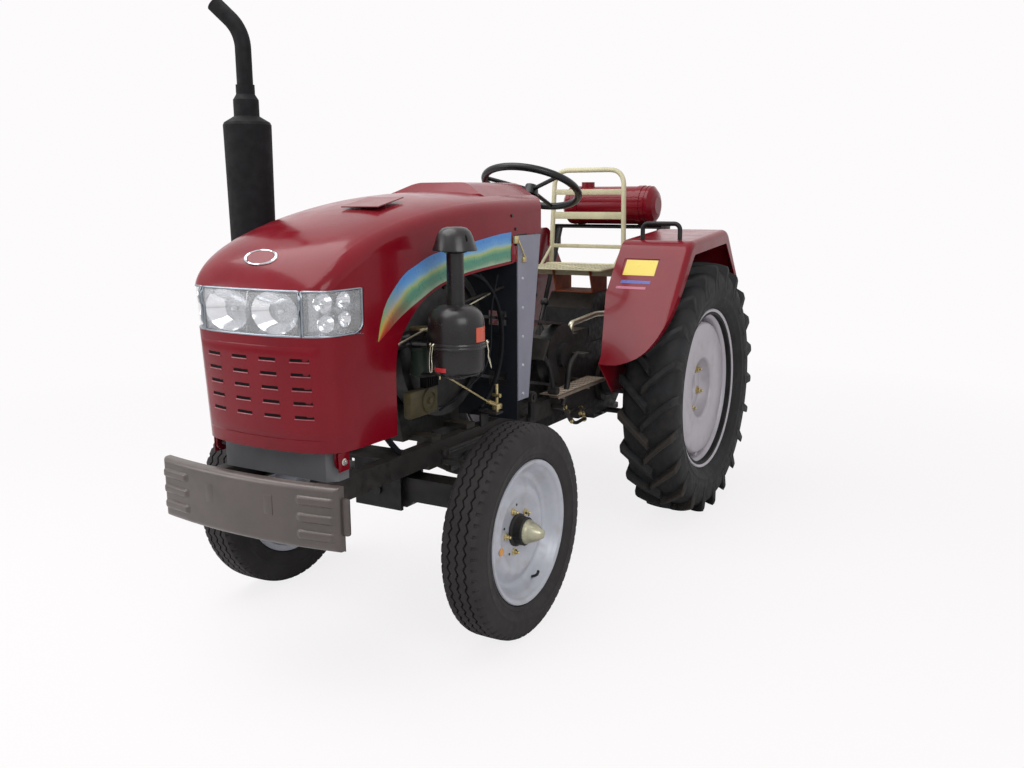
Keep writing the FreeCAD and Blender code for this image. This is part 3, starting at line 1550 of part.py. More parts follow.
# --------------------------------------------------------------------------------------
# Steering
# --------------------------------------------------------------------------------------
def make_steering_wheel():
    """The rim, three spokes and the hub, in the wheel's own plane."""
    ring, thick = float(size("wheel_rim_radius")), float(size("wheel_tube_radius"))
    rim = Part.makeTorus(ring, thick)
    hub = Part.makeCone(34, 24, 40, Vector(0, 0, -34))
    bore = Part.makeCylinder(9 + float(size("running_gap")), 30, Vector(0, 0, -40))
    spokes = []
    for index in range(3):
        angle = math.radians(90 + index * 120)
        heading = Vector(math.cos(angle), math.sin(angle), 0)
        spokes.append(Part.makeCylinder(8, ring - 10, Vector(0, 0, -12), heading + Vector(0, 0, 12 / ring)))
    shape = rim.multiFuse([hub, *spokes]).cut(bore)
    shape.rotate(Vector(0, 0, 0), Vector(1, 0, 0), -float(size("wheel_rake")))
    shape.translate(steering_hub())
    return feature("steering_wheel", shape)


def make_knuckle(side):
    """Kingpin, lower block, spindle and tie arm, with the drag link's arm on the left."""
    sign = SIDES[side]
    across = float(size("kingpin_x"))
    along, level = float(FRONT), float(front_axle_height())
    pin_radius = float(size("kingpin_radius"))
    sleeve_low = float(size("beam_bottom")) - 2
    sleeve_top = float(size("beam_top")) + 4
    link = float(size("link_level"))
    gap = 0.5
    block = Part.makeCylinder(30, sleeve_low - gap - level + 30, Vector(across, along, level - 30))
    pin_top = link - 22
    pin = Part.makeCylinder(pin_radius, pin_top - level, Vector(across, along, level))
    collar = Part.makeCylinder(24, pin_top - sleeve_top - gap, Vector(across, along, sleeve_top + gap))
    reach = float(size("front_wheel_x")) + 30 - across
    spindle = Part.makeCylinder(float(size("spindle_radius")), reach, Vector(across, along, level),
                                Vector(1, 0, 0))
    root = Part.makeCylinder(27, 70, Vector(across, along, level), Vector(1, 0, 0))
    tie = float(size("tie_arm"))
    arm = Part.makeBox(26, tie, 16, Vector(across - 13, along, level - 16))
    eye = Part.makeCylinder(16, 16, Vector(across, along + tie, level - 16))
    pieces = [pin, collar, spindle, root, arm, eye]
    if side == "left":
        pieces.append(Part.makeCylinder(7, 34, Vector(across, along + tie, level - 4)))
        steer = float(size("steer_arm"))
        pieces.append(Part.makeBox(steer, 24, 14, Vector(across - steer, along - 12, pin_top - 14)))
        pieces.append(Part.makeCylinder(13, 14, Vector(across - steer, along, pin_top - 14)))
    shape = block.multiFuse(pieces).removeSplitter()
    if sign < 0:
        shape = shape.mirror(Vector(0, 0, 0), Vector(1, 0, 0))
    return feature(f"knuckle_{side}", shape)


def make_tie_rod():
    """The cross rod between the two tie arms."""
    across = float(size("kingpin_x"))
    along = float(FRONT + size("tie_arm"))
    level = float(front_axle_height()) + 0.5
    bar = Part.makeCylinder(11, across * 2, Vector(-across, along, level + 12), Vector(1, 0, 0))
    left = Part.makeCylinder(17, 24, Vector(across, along, level))
    right = Part.makeCylinder(17, 24, Vector(-across, along, level))
    bore = Part.makeCylinder(7 + float(size("running_gap")), 60, Vector(across, along, level - 10))
    return feature("tie_rod", bar.multiFuse([left, right]).cut(bore).removeSplitter())


def make_pitman_arm():
    """The arm that hangs from the steering gear's cross shaft, outboard of the link."""
    across = float(size("pitman_x"))
    along, level = float(pitman_pivot_y()), float(pitman_pivot_z())
    drop = float(size("steer_arm"))
    start = across + 12
    hub = Part.makeCylinder(20, 18, Vector(start, along, level), Vector(1, 0, 0))
    blade = Part.makeBox(12, 26, drop, Vector(start, along - 13, level - drop))
    foot = Part.makeCylinder(15, 12, Vector(start, along, level - drop), Vector(1, 0, 0))
    bore = Part.makeCylinder(9.6 + float(size("running_gap")), 60, Vector(start - 20, along, level),
                             Vector(1, 0, 0))
    pin = Part.makeCylinder(7, 32, Vector(start - 20, along, level - drop), Vector(1, 0, 0))
    return feature("pitman_arm", hub.multiFuse([blade, foot]).cut(bore).fuse(pin))


def make_drag_link():
    """The long rod from the pitman arm to the left steering arm."""
    across = float(size("pitman_x"))
    level = float(size("link_level"))
    front, rear = float(FRONT), float(pitman_pivot_y())
    bar = Part.makeCylinder(9, rear - front, Vector(across, front, level), Vector(0, 1, 0))
    eye = Part.makeCylinder(15, 18, Vector(across - 9, rear, level), Vector(1, 0, 0))
    head = Part.makeCylinder(14, 18, Vector(across, front, level - 9))
    bore = Part.makeCylinder(7 + float(size("running_gap")), 60, Vector(across - 30, rear, level),
                             Vector(1, 0, 0))
    return feature("drag_link", bar.multiFuse([eye, head]).cut(bore))


# --------------------------------------------------------------------------------------
# Wheels
# --------------------------------------------------------------------------------------
def wheel_body(label, side, middle, along, level, outline):
    """A ring turned about the wheel's axle; +X of the outline points outboard."""
    sign = SIDES[side]
    owner = body(label)
    turned = [(across * sign, radius) for across, radius in outline]
    revolve(owner, sketch(owner, "XZ_Plane", 0, turned))
    place(owner, middle * sign, along, level)
    return owner


def make_front_tyre(side):
    """The ribbed front tyre, seated on its rim."""
    radius, half = size("front_tyre_radius"), size("front_tyre_width") / 2
    seat = size("front_rim_radius") - 15 + size("seat_gap")
    flange = size("front_rim_radius") + size("seat_gap")
    lip = size("front_rim_width") / 2
    side_outline = [
        (lip - 6, seat), (lip - 3.4, flange + 1), (half - 6, flange + 14), (half, radius - 64),
        (half - 1, radius - 40), (half - 8, radius - 14), (half - 16, radius - 4), (20, radius - 1),
        (18, radius - 7), (14, radius - 7), (12, radius),
    ]
    outline = side_outline + [(-across, up) for across, up in reversed(side_outline)]
    return wheel_body(f"front_tyre_{side}", side, size("front_wheel_x"), FRONT, front_axle_height(), outline)


def make_front_rim(side):
    """The drop-centre rim with its dished disc, hub and pointed cap."""
    radius, lip = size("front_rim_radius"), size("front_rim_width") / 2
    seat, well = radius - 15, radius - 33
    hub = size("front_hub_radius")
    bore = size("spindle_radius") + size("running_gap")
    outline = [
        (-80, bore), (-80, 38), (-10, 42), (10, hub), (16, hub + 6), (28, hub + 17), (35, hub + 37),
        (33, hub + 65), (25, well - 28), (16, well - 6), (-24, well - 6), (-30, seat - 6), (-lip + 4, seat - 4),
        (-lip, radius - 14), (-lip, radius), (-lip + 3, radius), (-lip + 5, seat), (-31, seat), (-24, well),
        (24, well), (31, seat), (lip - 5, seat), (lip - 3, radius), (lip, radius), (lip, radius - 14),
        (lip - 4, seat - 4), (30, seat - 6), (24, well - 6), (30, well - 28), (38, hub + 65), (40, hub + 37),
        (33, hub + 15), (24, hub + 7), (24, hub), (44, hub - 5), (46, 38), (60, 36), (92, 24), (99, 12),
        (99, 0), (34, 0), (34, bore),
    ]
    return wheel_body(f"front_rim_{side}", side, size("front_wheel_x"), FRONT, front_axle_height(), outline)


def make_rear_rim(side):
    """The drop-centre rim, the dished disc clipped into it, the hub and the axle shaft."""
    sign = SIDES[side]
    radius, lip = size("rear_rim_radius"), size("rear_rim_width") / 2
    seat, well = radius - 26, radius - 44
    disc = size("rear_disc_radius")
    hub = size("rear_hub_radius")
    shaft = size("axle_shaft_radius")
    start = size("fender_inner_x") - size("rear_wheel_x")
    ring = [
        (-lip, radius), (-lip + 4, radius), (-lip + 7, seat + 1), (-40, seat), (-30, well), (30, well),
        (40, seat), (lip - 7, seat + 1), (lip - 4, radius), (lip, radius), (lip, radius - 13),
        (lip - 6, seat - 5), (42, seat - 5), (32, well - 6), (-32, well - 6), (-42, seat - 5),
        (-lip + 6, seat - 5), (-lip, radius - 13),
    ]
    centre = [
        (start - 40, 0), (start - 40, shaft), (start + 8, shaft), (start + 8, hub), (0, hub),
        (6, hub + 52), (12, hub + 64), (52, hub + 72), (58, hub + 80), (60, disc - 8), (54, disc - 2),
        (56, disc + 2), (64, disc), (66, disc - 6), (66, hub + 74), (60, hub + 66), (20, hub + 58),
        (14, hub + 48), (14, hub + 14), (8, hub + 12), (8, 30), (30, 26), (34, 0),
    ]
    owner = body(f"rear_rim_{side}")
    for outline in (ring, centre):
        turned = [(across * sign, up) for across, up in outline]
        revolve(owner, sketch(owner, "XZ_Plane", 0, turned))
    clip = sketch(owner, "XY_Plane", disc - 8, [
        (54 * sign, -30), (64 * sign, -30), (64 * sign, 30), (54 * sign, 30),
    ])
    first = pad(owner, clip, seat - disc + 5)
    clips = owner.newObject("PartDesign::PolarPattern", f"{owner.Name}_clips")
    clips.Originals = [first]
    clips.Axis = (sketch_axis_of(owner), ["H_Axis"])
    clips.Angle = 360
    clips.Occurrences = 8
    owner.Tip = clips
    return place(owner, size("rear_wheel_x") * sign, REAR, rear_axle_height())


def sketch_axis_of(owner):
    """The body's first sketch, whose horizontal axis is the wheel's axle."""
    return [item for item in owner.Group if item.TypeId == "Sketcher::SketchObject"][0]


def lug_section(across, turn, width, low, high, taper):
    """One cross-section of a lug in a plane square to the axle."""
    corners = []
    for radius, half in ((low, width / 2), (high, width / 2 - taper)):
        spread = half / radius
        signs = (-1, 1) if radius == low else (1, -1)
        for sign in signs:
            angle = turn + sign * spread
            corners.append(Vector(across, radius * math.sin(-angle), radius * math.cos(angle)))
    return Part.makePolygon(corners + corners[:1])


def make_rear_tyre(side):
    """The carcass and its chevron of bent lugs, staggered from side to side."""
    sign = SIDES[side]
    radius, half = float(size("rear_tyre_radius")), float(size("rear_tyre_width")) / 2
    crown = radius - float(size("lug_height"))
    gap = float(size("seat_gap"))
    seat = float(size("rear_rim_radius")) - 26 + gap
    flange = float(size("rear_rim_radius")) + gap
    lip = float(size("rear_rim_width")) / 2
    side_outline = [
        (lip - 8, seat + 1), (lip - 4.4, flange + 1), (lip + 9, flange + 15), (half - 5, flange + 46),
        (half, flange + 84), (half - 3, crown - 44), (half - 14, crown - 18), (half - 36, crown - 4),
    ]
    profile = [Vector(across, 0, up) for across, up in side_outline]
    profile += [mirrored(point) for point in reversed(profile)]
    carcass = Part.Face(Part.makePolygon(profile + profile[:1]))
    carcass = carcass.revolve(Vector(0, 0, 0), Vector(1, 0, 0), 360)
    count = int(float(size("lug_count")))
    pitch = 2 * math.pi / count
    lugs = []
    for hand in (1, -1):
        stations = [
            (4, 0, 42, crown - 12, radius, 7),
            (half * 0.5, -math.radians(7), 38, crown - 12, radius - 2, 6),
            (half - 6, -math.radians(12.5), 36, crown - 62, radius - 13, 5),
        ]
        sections = [lug_section(across * hand, turn, width, low, high, taper)
                    for across, turn, width, low, high, taper in stations]
        lug = Part.makeLoft(sections, True, True)
        for index in range(count):
            turned = lug.copy()
            angle = math.degrees(pitch) * (index + (0.5 if hand < 0 else 0))
            turned.rotate(Vector(0, 0, 0), Vector(1, 0, 0), angle)
            lugs.append(turned)
    tyre = carcass.multiFuse(lugs)
    if sign < 0:
        tyre = tyre.mirror(Vector(0, 0, 0), Vector(1, 0, 0))
    tyre.translate(Vector(float(size("rear_wheel_x")) * sign, float(REAR), float(rear_axle_height())))
    return feature(f"rear_tyre_{side}", tyre)


# --------------------------------------------------------------------------------------
# Hitch
# --------------------------------------------------------------------------------------
def make_drawbar():
    """The drawbar under the transaxle, with the lower links' cross shaft."""
    level = float(size("lower_link_z"))
    pivot = float(REAR + size("lower_link_front_aft"))
    under = 380 - float(size("seat_gap"))
    reach = float(size("lower_link_x")) + 14
    block = Part.makeBox(150, 60, under - level + 20, Vector(-75, pivot - 30, level - 20))
    shaft = Part.makeCylinder(12, reach * 2, Vector(-reach, pivot, level), Vector(1, 0, 0))
    tongue = Part.makeBox(76, 260, 20, Vector(-38, pivot - 30, level - 40))
    end = Part.makeCylinder(38, 20, Vector(0, pivot + 230, level - 40))
    hole = Part.makeCylinder(float(size("drawbar_pin_radius")), 60, Vector(0, pivot + 230, level - 60))
    return feature("drawbar", block.multiFuse([shaft, tongue, end]).cut(hole).removeSplitter())


def make_lower_links():
    """The two lower hitch links, spread towards their ball ends."""
    level = float(size("lower_link_z"))
    pivot = float(REAR + size("lower_link_front_aft"))
    across, length = float(size("lower_link_x")), float(size("lower_link_length"))
    spread, rise = 96.0, 38.0
    links = []
    for sign in (1, -1):
        points = []
        for share, half in ((0, 20), (0, -20), (1, -18), (1, 18)):
            points.append(Vector(-8, pivot + length * share, level + rise * share + half))
        bar = extruded(points, Vector(16, 0, 0))
        shear = FreeCAD.Matrix()
        shear.A12 = spread / length
        shear.A14 = -pivot * spread / length
        bar = bar.transformGeometry(shear)
        eye = Part.makeCylinder(26, 24, Vector(-12, pivot, level), Vector(1, 0, 0))
        ball = Part.makeCylinder(30, 36, Vector(spread - 18, pivot + length, level + rise), Vector(1, 0, 0))
        bore = Part.makeCylinder(12 + float(size("running_gap")), 80, Vector(-40, pivot, level), Vector(1, 0, 0))
        ball_bore = Part.makeCylinder(float(size("link_pin_radius")), 80,
                                      Vector(spread - 40, pivot + length, level + rise), Vector(1, 0, 0))
        link = bar.multiFuse([eye, ball]).cut(bore).cut(ball_bore)
        link.translate(Vector(across, 0, 0))
        if sign < 0:
            link = link.mirror(Vector(0, 0, 0), Vector(1, 0, 0))
        links.append(link)
    return feature("lower_links", Part.makeCompound(links))


LIFT_ARM_X = 172.0


def make_lift_arms():
    """The two arms on the rock shaft."""
    along, level = float(REAR + size("rock_shaft_aft")), float(size("rock_shaft_z"))
    length = float(size("lift_arm_length"))
    start = LIFT_ARM_X - 12
    arms = []
    for sign in (1, -1):
        hub = Part.makeCylinder(34, 24, Vector(start - 6, along, level), Vector(1, 0, 0))
        points = [Vector(start, along, level + 26), Vector(start, along, level - 26),
                  Vector(start, along + length, level - 15), Vector(start, along + length, level + 15)]
        blade = extruded(points, Vector(14, 0, 0))
        eye = Part.makeCylinder(19, 14, Vector(start, along + length, level), Vector(1, 0, 0))
        bore = Part.makeCylinder(20 + float(size("running_gap")), 60, Vector(start - 20, along, level),
                                 Vector(1, 0, 0))
        pin = Part.makeCylinder(9, 44, Vector(start + 4, along + length, level), Vector(1, 0, 0))
        arm = hub.multiFuse([blade, eye]).cut(bore).fuse(pin)
        if sign < 0:
            arm = arm.mirror(Vector(0, 0, 0), Vector(1, 0, 0))
        arms.append(arm)
    return feature("lift_arms", Part.makeCompound(arms))


def make_lift_rods():
    """The two rods that hang from the lift arms to the sides of the lower links."""
    along = float(REAR + size("rock_shaft_aft") + size("lift_arm_length"))
    level = float(size("rock_shaft_z"))
    link_y = float(REAR + size("lower_link_front_aft")) + 380
    link_z = float(size("lower_link_z")) + 24
    link_x = float(size("lower_link_x")) + 26
    start = LIFT_ARM_X + 6
    rods = []
    for sign in (1, -1):
        top = Vector(start + 16, along, level)
        low = Vector(link_x, link_y, link_z)
        run = low - top
        bar = Part.makeCylinder(10, run.Length, top, run)
        sleeve = Part.makeCylinder(16, run.Length * 0.4, top + run * 0.3, run)
        upper = Part.makeCylinder(20, 22, Vector(start + 5, along, level), Vector(1, 0, 0))
        lower = Part.makeCylinder(20, 20, low - Vector(10, 0, 0), Vector(1, 0, 0))
        bore = Part.makeCylinder(9 + float(size("running_gap")), 60, Vector(start - 15, along, level),
                                 Vector(1, 0, 0))
        rod_shape = bar.multiFuse([sleeve, upper, lower]).cut(bore)
        if sign < 0:
            rod_shape = rod_shape.mirror(Vector(0, 0, 0), Vector(1, 0, 0))
        rods.append(rod_shape)
    return feature("lift_rods", Part.makeCompound(rods))


# --------------------------------------------------------------------------------------
# Assembly and files
# --------------------------------------------------------------------------------------
for make in (
    make_frame_rails, make_front_crossmembers, make_front_axle_beam, make_bumper, make_nose_plate,
    make_engine_block, make_cylinder_head, make_water_tank, make_drive_pulleys, make_drive_belts,
    make_air_cleaner, make_exhaust, make_firewall, make_dash_pillars, make_gearbox_case,
    make_rear_axle_housing, make_lift_housing, make_step_shelf, make_foot_platforms, make_pedals,
    make_control_levers, make_steering_column, make_seat_bracket, make_seat_pan, make_seat_frame,
    make_fuel_tank, make_tank_bracket, make_grab_handles, make_steering_wheel, make_tie_rod,
    make_pitman_arm, make_drag_link, make_drawbar, make_lower_links, make_lift_arms, make_lift_rods,
):
    keep(make())
for piece in make_hood():
    keep(piece)
for side in SIDES:
    for make in (make_fender, make_knuckle, make_front_tyre, make_front_rim, make_rear_tyre, make_rear_rim):
        keep(make(side))

doc.recompute()
for item in doc.Objects:
    if "Invalid" in item.State or "Error" in item.State:
        raise RuntimeError(f"{item.Label} did not build: {item.State}")
unsound = [piece.Label for piece in subparts
           if piece.Shape.isNull() or not piece.Shape.isValid() or not piece.Shape.Solids]
if unsound:
    raise RuntimeError(f"No sound solid: {unsound}")
for piece in subparts:
    piece.Shape.exportStep(f"parts/{piece.Label}.step")
    extent = piece.Shape.BoundBox
    print(f"{piece.Label:24s} solids {len(piece.Shape.Solids)}  volume {piece.Shape.Volume / 1e6:8.3f} l  "
          f"X {extent.XMin:7.1f} {extent.XMax:7.1f}  Y {extent.YMin:7.1f} {extent.YMax:7.1f}  "
          f"Z {extent.ZMin:7.1f} {extent.ZMax:7.1f}")
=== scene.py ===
# %% [markdown]
# # A compact tractor, dressed for the camera
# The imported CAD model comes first, as a frame that nothing in this file moves. Every
# piece made below takes its place from that frame, so it lands on its axle, panel or
# bolt face with no fitting. The script goes from light and camera, through the finishes,
# to the pieces: tyres, wheels, hood, lamps, engine bay, seat, fenders and small trim.

# %% Load the frame
import math

import bmesh
import bpy
from mathutils import Matrix, Vector
from mathutils.bvhtree import BVHTree


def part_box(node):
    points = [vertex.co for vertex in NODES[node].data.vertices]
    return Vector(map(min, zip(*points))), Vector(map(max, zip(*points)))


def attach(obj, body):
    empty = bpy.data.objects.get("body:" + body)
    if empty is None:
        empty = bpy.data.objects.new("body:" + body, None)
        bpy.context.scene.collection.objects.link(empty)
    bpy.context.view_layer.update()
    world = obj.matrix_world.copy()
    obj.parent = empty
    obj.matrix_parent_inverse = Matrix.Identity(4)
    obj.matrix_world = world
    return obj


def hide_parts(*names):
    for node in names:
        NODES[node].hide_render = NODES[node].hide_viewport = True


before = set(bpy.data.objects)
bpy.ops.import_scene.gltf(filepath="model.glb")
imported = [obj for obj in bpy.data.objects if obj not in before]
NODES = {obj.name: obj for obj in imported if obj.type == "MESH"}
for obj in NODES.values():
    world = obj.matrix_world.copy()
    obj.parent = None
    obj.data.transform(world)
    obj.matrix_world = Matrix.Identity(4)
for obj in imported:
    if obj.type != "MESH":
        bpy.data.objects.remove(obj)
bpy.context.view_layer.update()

MM = 0.001

# %% [markdown]
# ## Camera, floor and light
# A product picture wants a quiet room: a pale floor, a pale surround, and large lamps
# whose soft edges show the roundness of paint. The lens is a short one from just above
# hood height, ahead of the left front wheel. The surround is plain white to the camera
# and to mirrors, and weaker as a light, so that pale paint keeps its own colour.

# %% Camera
camera_data = bpy.data.cameras.new("camera")
camera_data.lens = 34.36
camera_data.sensor_width = 36
camera = bpy.data.objects.new("camera", camera_data)
bpy.context.scene.collection.objects.link(camera)
camera.location = (1.861, -3.161, 1.318)
turn = Matrix.Rotation(math.radians(29.95), 3, "Z")
tilt = Matrix.Rotation(math.radians(90 - 11.04), 3, "X")
roll = Matrix.Rotation(math.radians(-0.34), 3, "Z")
camera.rotation_euler = (turn @ tilt @ roll).to_euler()
bpy.context.scene.camera = camera
bpy.context.scene.view_settings.view_transform = "Standard"
print("camera at", tuple(camera.location))


# %% [markdown]
# ## One way to add a node
# Every material and every Geometry Nodes tree below is built with one small function.
# It makes a node, sets its options, and fills each input with a number or with a link.
# Colours are written as the hex values of a paint chart and turned to linear light once.

# %% Helpers for node trees
def add(tree, kind, inputs=None, **settings):
    """A new node with its settings, and each input set to a value or linked to a socket."""
    made = tree.nodes.new(kind)
    for name, value in settings.items():
        setattr(made, name, value)
    for key, value in (inputs or {}).items():
        if isinstance(value, bpy.types.NodeSocket):
            tree.links.new(value, made.inputs[key])
        else:
            made.inputs[key].default_value = value
    return made


def paint(hex_code):
    """The linear colour of an sRGB hex value such as 8A1020."""
    channels = [int(hex_code[start:start + 2], 16) / 255 for start in (0, 2, 4)]
    linear = [c / 12.92 if c <= 0.04045 else ((c + 0.055) / 1.055) ** 2.4 for c in channels]
    return (*linear, 1.0)


def per_metre(size_mm):
    """A pattern's scale on Object coordinates for features of this size."""
    return 1 / (size_mm * MM)


def remap(tree, value, low, high, to_low=0.0, to_high=1.0):
    """A value's share between two limits, spread between two results and held there."""
    limits = {"Value": value, "From Min": low, "From Max": high, "To Min": to_low, "To Max": to_high}
    return add(tree, "ShaderNodeMapRange", limits).outputs["Result"]


print("helpers for node trees ready")


# %% Floor, surround and lamps
SURROUND = paint("FDFBFC")
WORLD_LIGHT = 0.46
FLOOR_HALF = 14


def make_world():
    """A plain surround: white to the camera, mirrors and clear covers, weaker as a light."""
    world = bpy.data.worlds.new("studio")
    world.use_nodes = True
    bpy.context.scene.world = world
    tree = world.node_tree
    path = add(tree, "ShaderNodeLightPath").outputs
    seen = add(tree, "ShaderNodeMath", {0: path["Is Camera Ray"], 1: path["Is Glossy Ray"]},
               operation="MAXIMUM")
    seen = add(tree, "ShaderNodeMath", {0: seen.outputs[0], 1: path["Is Transmission Ray"]},
               operation="MAXIMUM")
    background = tree.nodes["Background"]
    background.inputs["Color"].default_value = SURROUND
    strength = remap(tree, seen.outputs[0], 0.0, 1.0, WORLD_LIGHT, 1.0)
    tree.links.new(strength, background.inputs["Strength"])


def make_floor():
    """A wide floor at the tyres' level that shows the shadow and fades into the surround."""
    mesh = bpy.data.meshes.new("floor")
    corners = [(x * FLOOR_HALF, y * FLOOR_HALF, 0) for x, y in ((-1, -1), (1, -1), (1, 1), (-1, 1))]
    mesh.from_pydata(corners, [], [(0, 1, 2, 3)])
    floor = bpy.data.objects.new("floor", mesh)
    bpy.context.scene.collection.objects.link(floor)
    chalk = bpy.data.materials.new("pale_floor")
    chalk.use_nodes = True
    tree = chalk.node_tree
    shader = tree.nodes["Principled BSDF"]
    shader.inputs["Base Color"].default_value = paint("E9E7E7")
    shader.inputs["Roughness"].default_value = 0.9
    glow = add(tree, "ShaderNodeEmission", {"Color": SURROUND, "Strength": 1.0})
    place = add(tree, "ShaderNodeTexCoord").outputs["Object"]
    reach = add(tree, "ShaderNodeVectorMath", {0: place}, operation="LENGTH")
    path = add(tree, "ShaderNodeLightPath")
    fade = remap(tree, reach.outputs["Value"], 1.8, 4.5, 0.84, 1.0)
    share = add(tree, "ShaderNodeMath", {0: fade, 1: path.outputs["Is Camera Ray"]}, operation="MULTIPLY")
    mix = add(tree, "ShaderNodeMixShader", {0: share.outputs[0], 1: shader.outputs[0], 2: glow.outputs[0]})
    tree.links.new(mix.outputs[0], tree.nodes["Material Output"].inputs["Surface"])
    mesh.materials.append(chalk)


def add_lamp(name, place, aim, size, power):
    """A square soft box that looks at a point."""
    data = bpy.data.lights.new(name, "AREA")
    data.shape = "RECTANGLE"
    data.size, data.size_y = size
    data.energy = power
    lamp = bpy.data.objects.new(name, data)
    bpy.context.scene.collection.objects.link(lamp)
    lamp.location = place
    lamp.rotation_euler = (Vector(aim) - Vector(place)).to_track_quat("-Z", "Y").to_euler()


make_world()
make_floor()
add_lamp("overhead", (-1.2, -1.6, 5.2), (0, -0.3, 0.9), (5.0, 4.0), 230)
add_lamp("front_left", (4.6, -3.4, 3.4), (0, 0, 0.8), (3.0, 2.4), 105)
add_lamp("front_right", (-3.8, -4.4, 2.6), (0, -0.6, 0.7), (2.6, 2.2), 62)

# %% [markdown]
# ## A finish is more than a colour
# Paint, rubber and iron all show three things at once: the colour drifts a little over
# a hand's breadth, the gloss is broken by a film of dust or handling, and the surface
# has a fine relief from how it was made. One recipe lays those three on Object
# coordinates, in real millimetres. Layers then go over it: dust where a surface faces
# up, bare steel on sharp edges, earth in the hollows of a tread.

# %% The shared recipe for a finish
SPECULAR, COAT, COAT_ROUGH = "Specular IOR Level", "Coat Weight", "Coat Roughness"


def noise(tree, place, size_mm, detail, **more):
    """Smooth noise with humps of a given size, as its output socket."""
    inputs = {"Vector": place, "Scale": per_metre(size_mm), "Detail": detail, **more}
    return add(tree, "ShaderNodeTexNoise", inputs).outputs["Fac"]


def blend(tree, share, first, second):
    """Two colours mixed by a share."""
    return add(tree, "ShaderNodeMix", {0: share, 6: first, 7: second}, data_type="RGBA").outputs[2]


def maths(tree, operation, first, second):
    """One sum of two values."""
    return add(tree, "ShaderNodeMath", {0: first, 1: second}, operation=operation).outputs[0]


def start_finish(name, tints, mottle_mm, rough, grain_mm, relief_mm, metallic=0.0, shine=None):
    """A material with drifting colour, uneven gloss and a fine relief; returns its parts."""
    material = bpy.data.materials.new(name)
    material.use_nodes = True
    tree = material.node_tree
    shader = tree.nodes["Principled BSDF"]
    for socket, value in {"Metallic": metallic, **(shine or {})}.items():
        shader.inputs[socket].default_value = value
    place = add(tree, "ShaderNodeTexCoord").outputs["Object"]
    drift = remap(tree, noise(tree, place, mottle_mm, 5.0, Roughness=0.6), 0.3, 0.7)
    colour = blend(tree, drift, paint(tints[0]), paint(tints[1]))
    film = noise(tree, place, mottle_mm * 0.4, 6.0)
    gloss = remap(tree, film, 0.3, 0.7, *rough)
    relief = add(tree, "ShaderNodeBump", {"Height": noise(tree, place, grain_mm, 3.0), "Strength": 0.6,
                                          "Distance": relief_mm * MM})
    tree.links.new(gloss, shader.inputs["Roughness"])
    tree.links.new(relief.outputs["Normal"], shader.inputs["Normal"])
    tree.links.new(colour, shader.inputs["Base Color"])
    return {"material": material, "tree": tree, "shader": shader, "place": place, "colour": colour,
            "film": film, "gloss": gloss}


def cover(parts, mask, hex_code, gloss=0.85):
    """Lays another colour over a finish where the mask is 1, and dulls it there."""
    tree, shader = parts["tree"], parts["shader"]
    parts["colour"] = blend(tree, mask, parts["colour"], paint(hex_code))
    dull = add(tree, "ShaderNodeMix", {0: mask, 2: parts["gloss"], 3: gloss}, data_type="FLOAT")
    parts["gloss"] = dull.outputs[0]
    tree.links.new(parts["colour"], shader.inputs["Base Color"])
    tree.links.new(parts["gloss"], shader.inputs["Roughness"])


print("finish recipe ready")


# %% Masks for the layers
def settled_dust(parts, amount):
    """Dust that lies where a surface faces up, broken by the film noise."""
    tree = parts["tree"]
    facing = add(tree, "ShaderNodeNewGeometry").outputs["Normal"]
    up = add(tree, "ShaderNodeSeparateXYZ", {0: facing}).outputs["Z"]
    patch = remap(tree, parts["film"], 0.35, 0.65, 0.35, 1.0)
    return maths(tree, "MULTIPLY", remap(tree, up, 0.2, 1.0, 0.0, amount), patch)


def worn_edges(parts, amount):
    """The sharp outer edges, where paint thins first, broken by the film noise."""
    tree = parts["tree"]
    edge = add(tree, "ShaderNodeNewGeometry").outputs["Pointiness"]
    return maths(tree, "MULTIPLY", remap(tree, edge, 0.53, 0.60, 0.0, amount), parts["film"])


def road_stain(parts, limits):
    """Blotches of road dust between two levels of the film noise, and how strong."""
    low, high, amount = limits
    return remap(parts["tree"], parts["film"], low, high, 0.0, amount)


def tread_dust(parts, amount):
    """Dust in the hollows of a tread, and smeared over it in blotches."""
    tree = parts["tree"]
    dip = add(tree, "ShaderNodeNewGeometry").outputs["Pointiness"]
    smear = remap(tree, parts["film"], 0.45, 0.75, 0.0, amount * 0.7)
    return maths(tree, "MAXIMUM", remap(tree, dip, 0.5, 0.44, 0.0, amount), smear)


def finish(*recipe, shine=None, layers=()):
    """A finished material. Each layer is (mask, its amount, hex colour), and a gloss if not dull."""
    parts = start_finish(*recipe, shine=shine)
    for mask, amount, *colour in layers:
        cover(parts, mask(parts, amount), *colour)
    return parts["material"]


print("layers ready")

# %% [markdown]
# ### Enamels
# Pressed panels are sprayed with a two-pack enamel and a clear top layer. It is a dye-deep
# red whose relief is the faint orange peel of a spray gun, about 3 mm from hump to hump,
# drawn a little coarser so that it shows. Frame parts get one thin coat that stays satin
# and collects grey dust. The bumper's enamel carries aluminium flake, hence its sparkle.
# Each recipe reads: name, two tints, mottle in mm, roughness from and to, grain in mm,
# relief in mm, and how metallic it is.

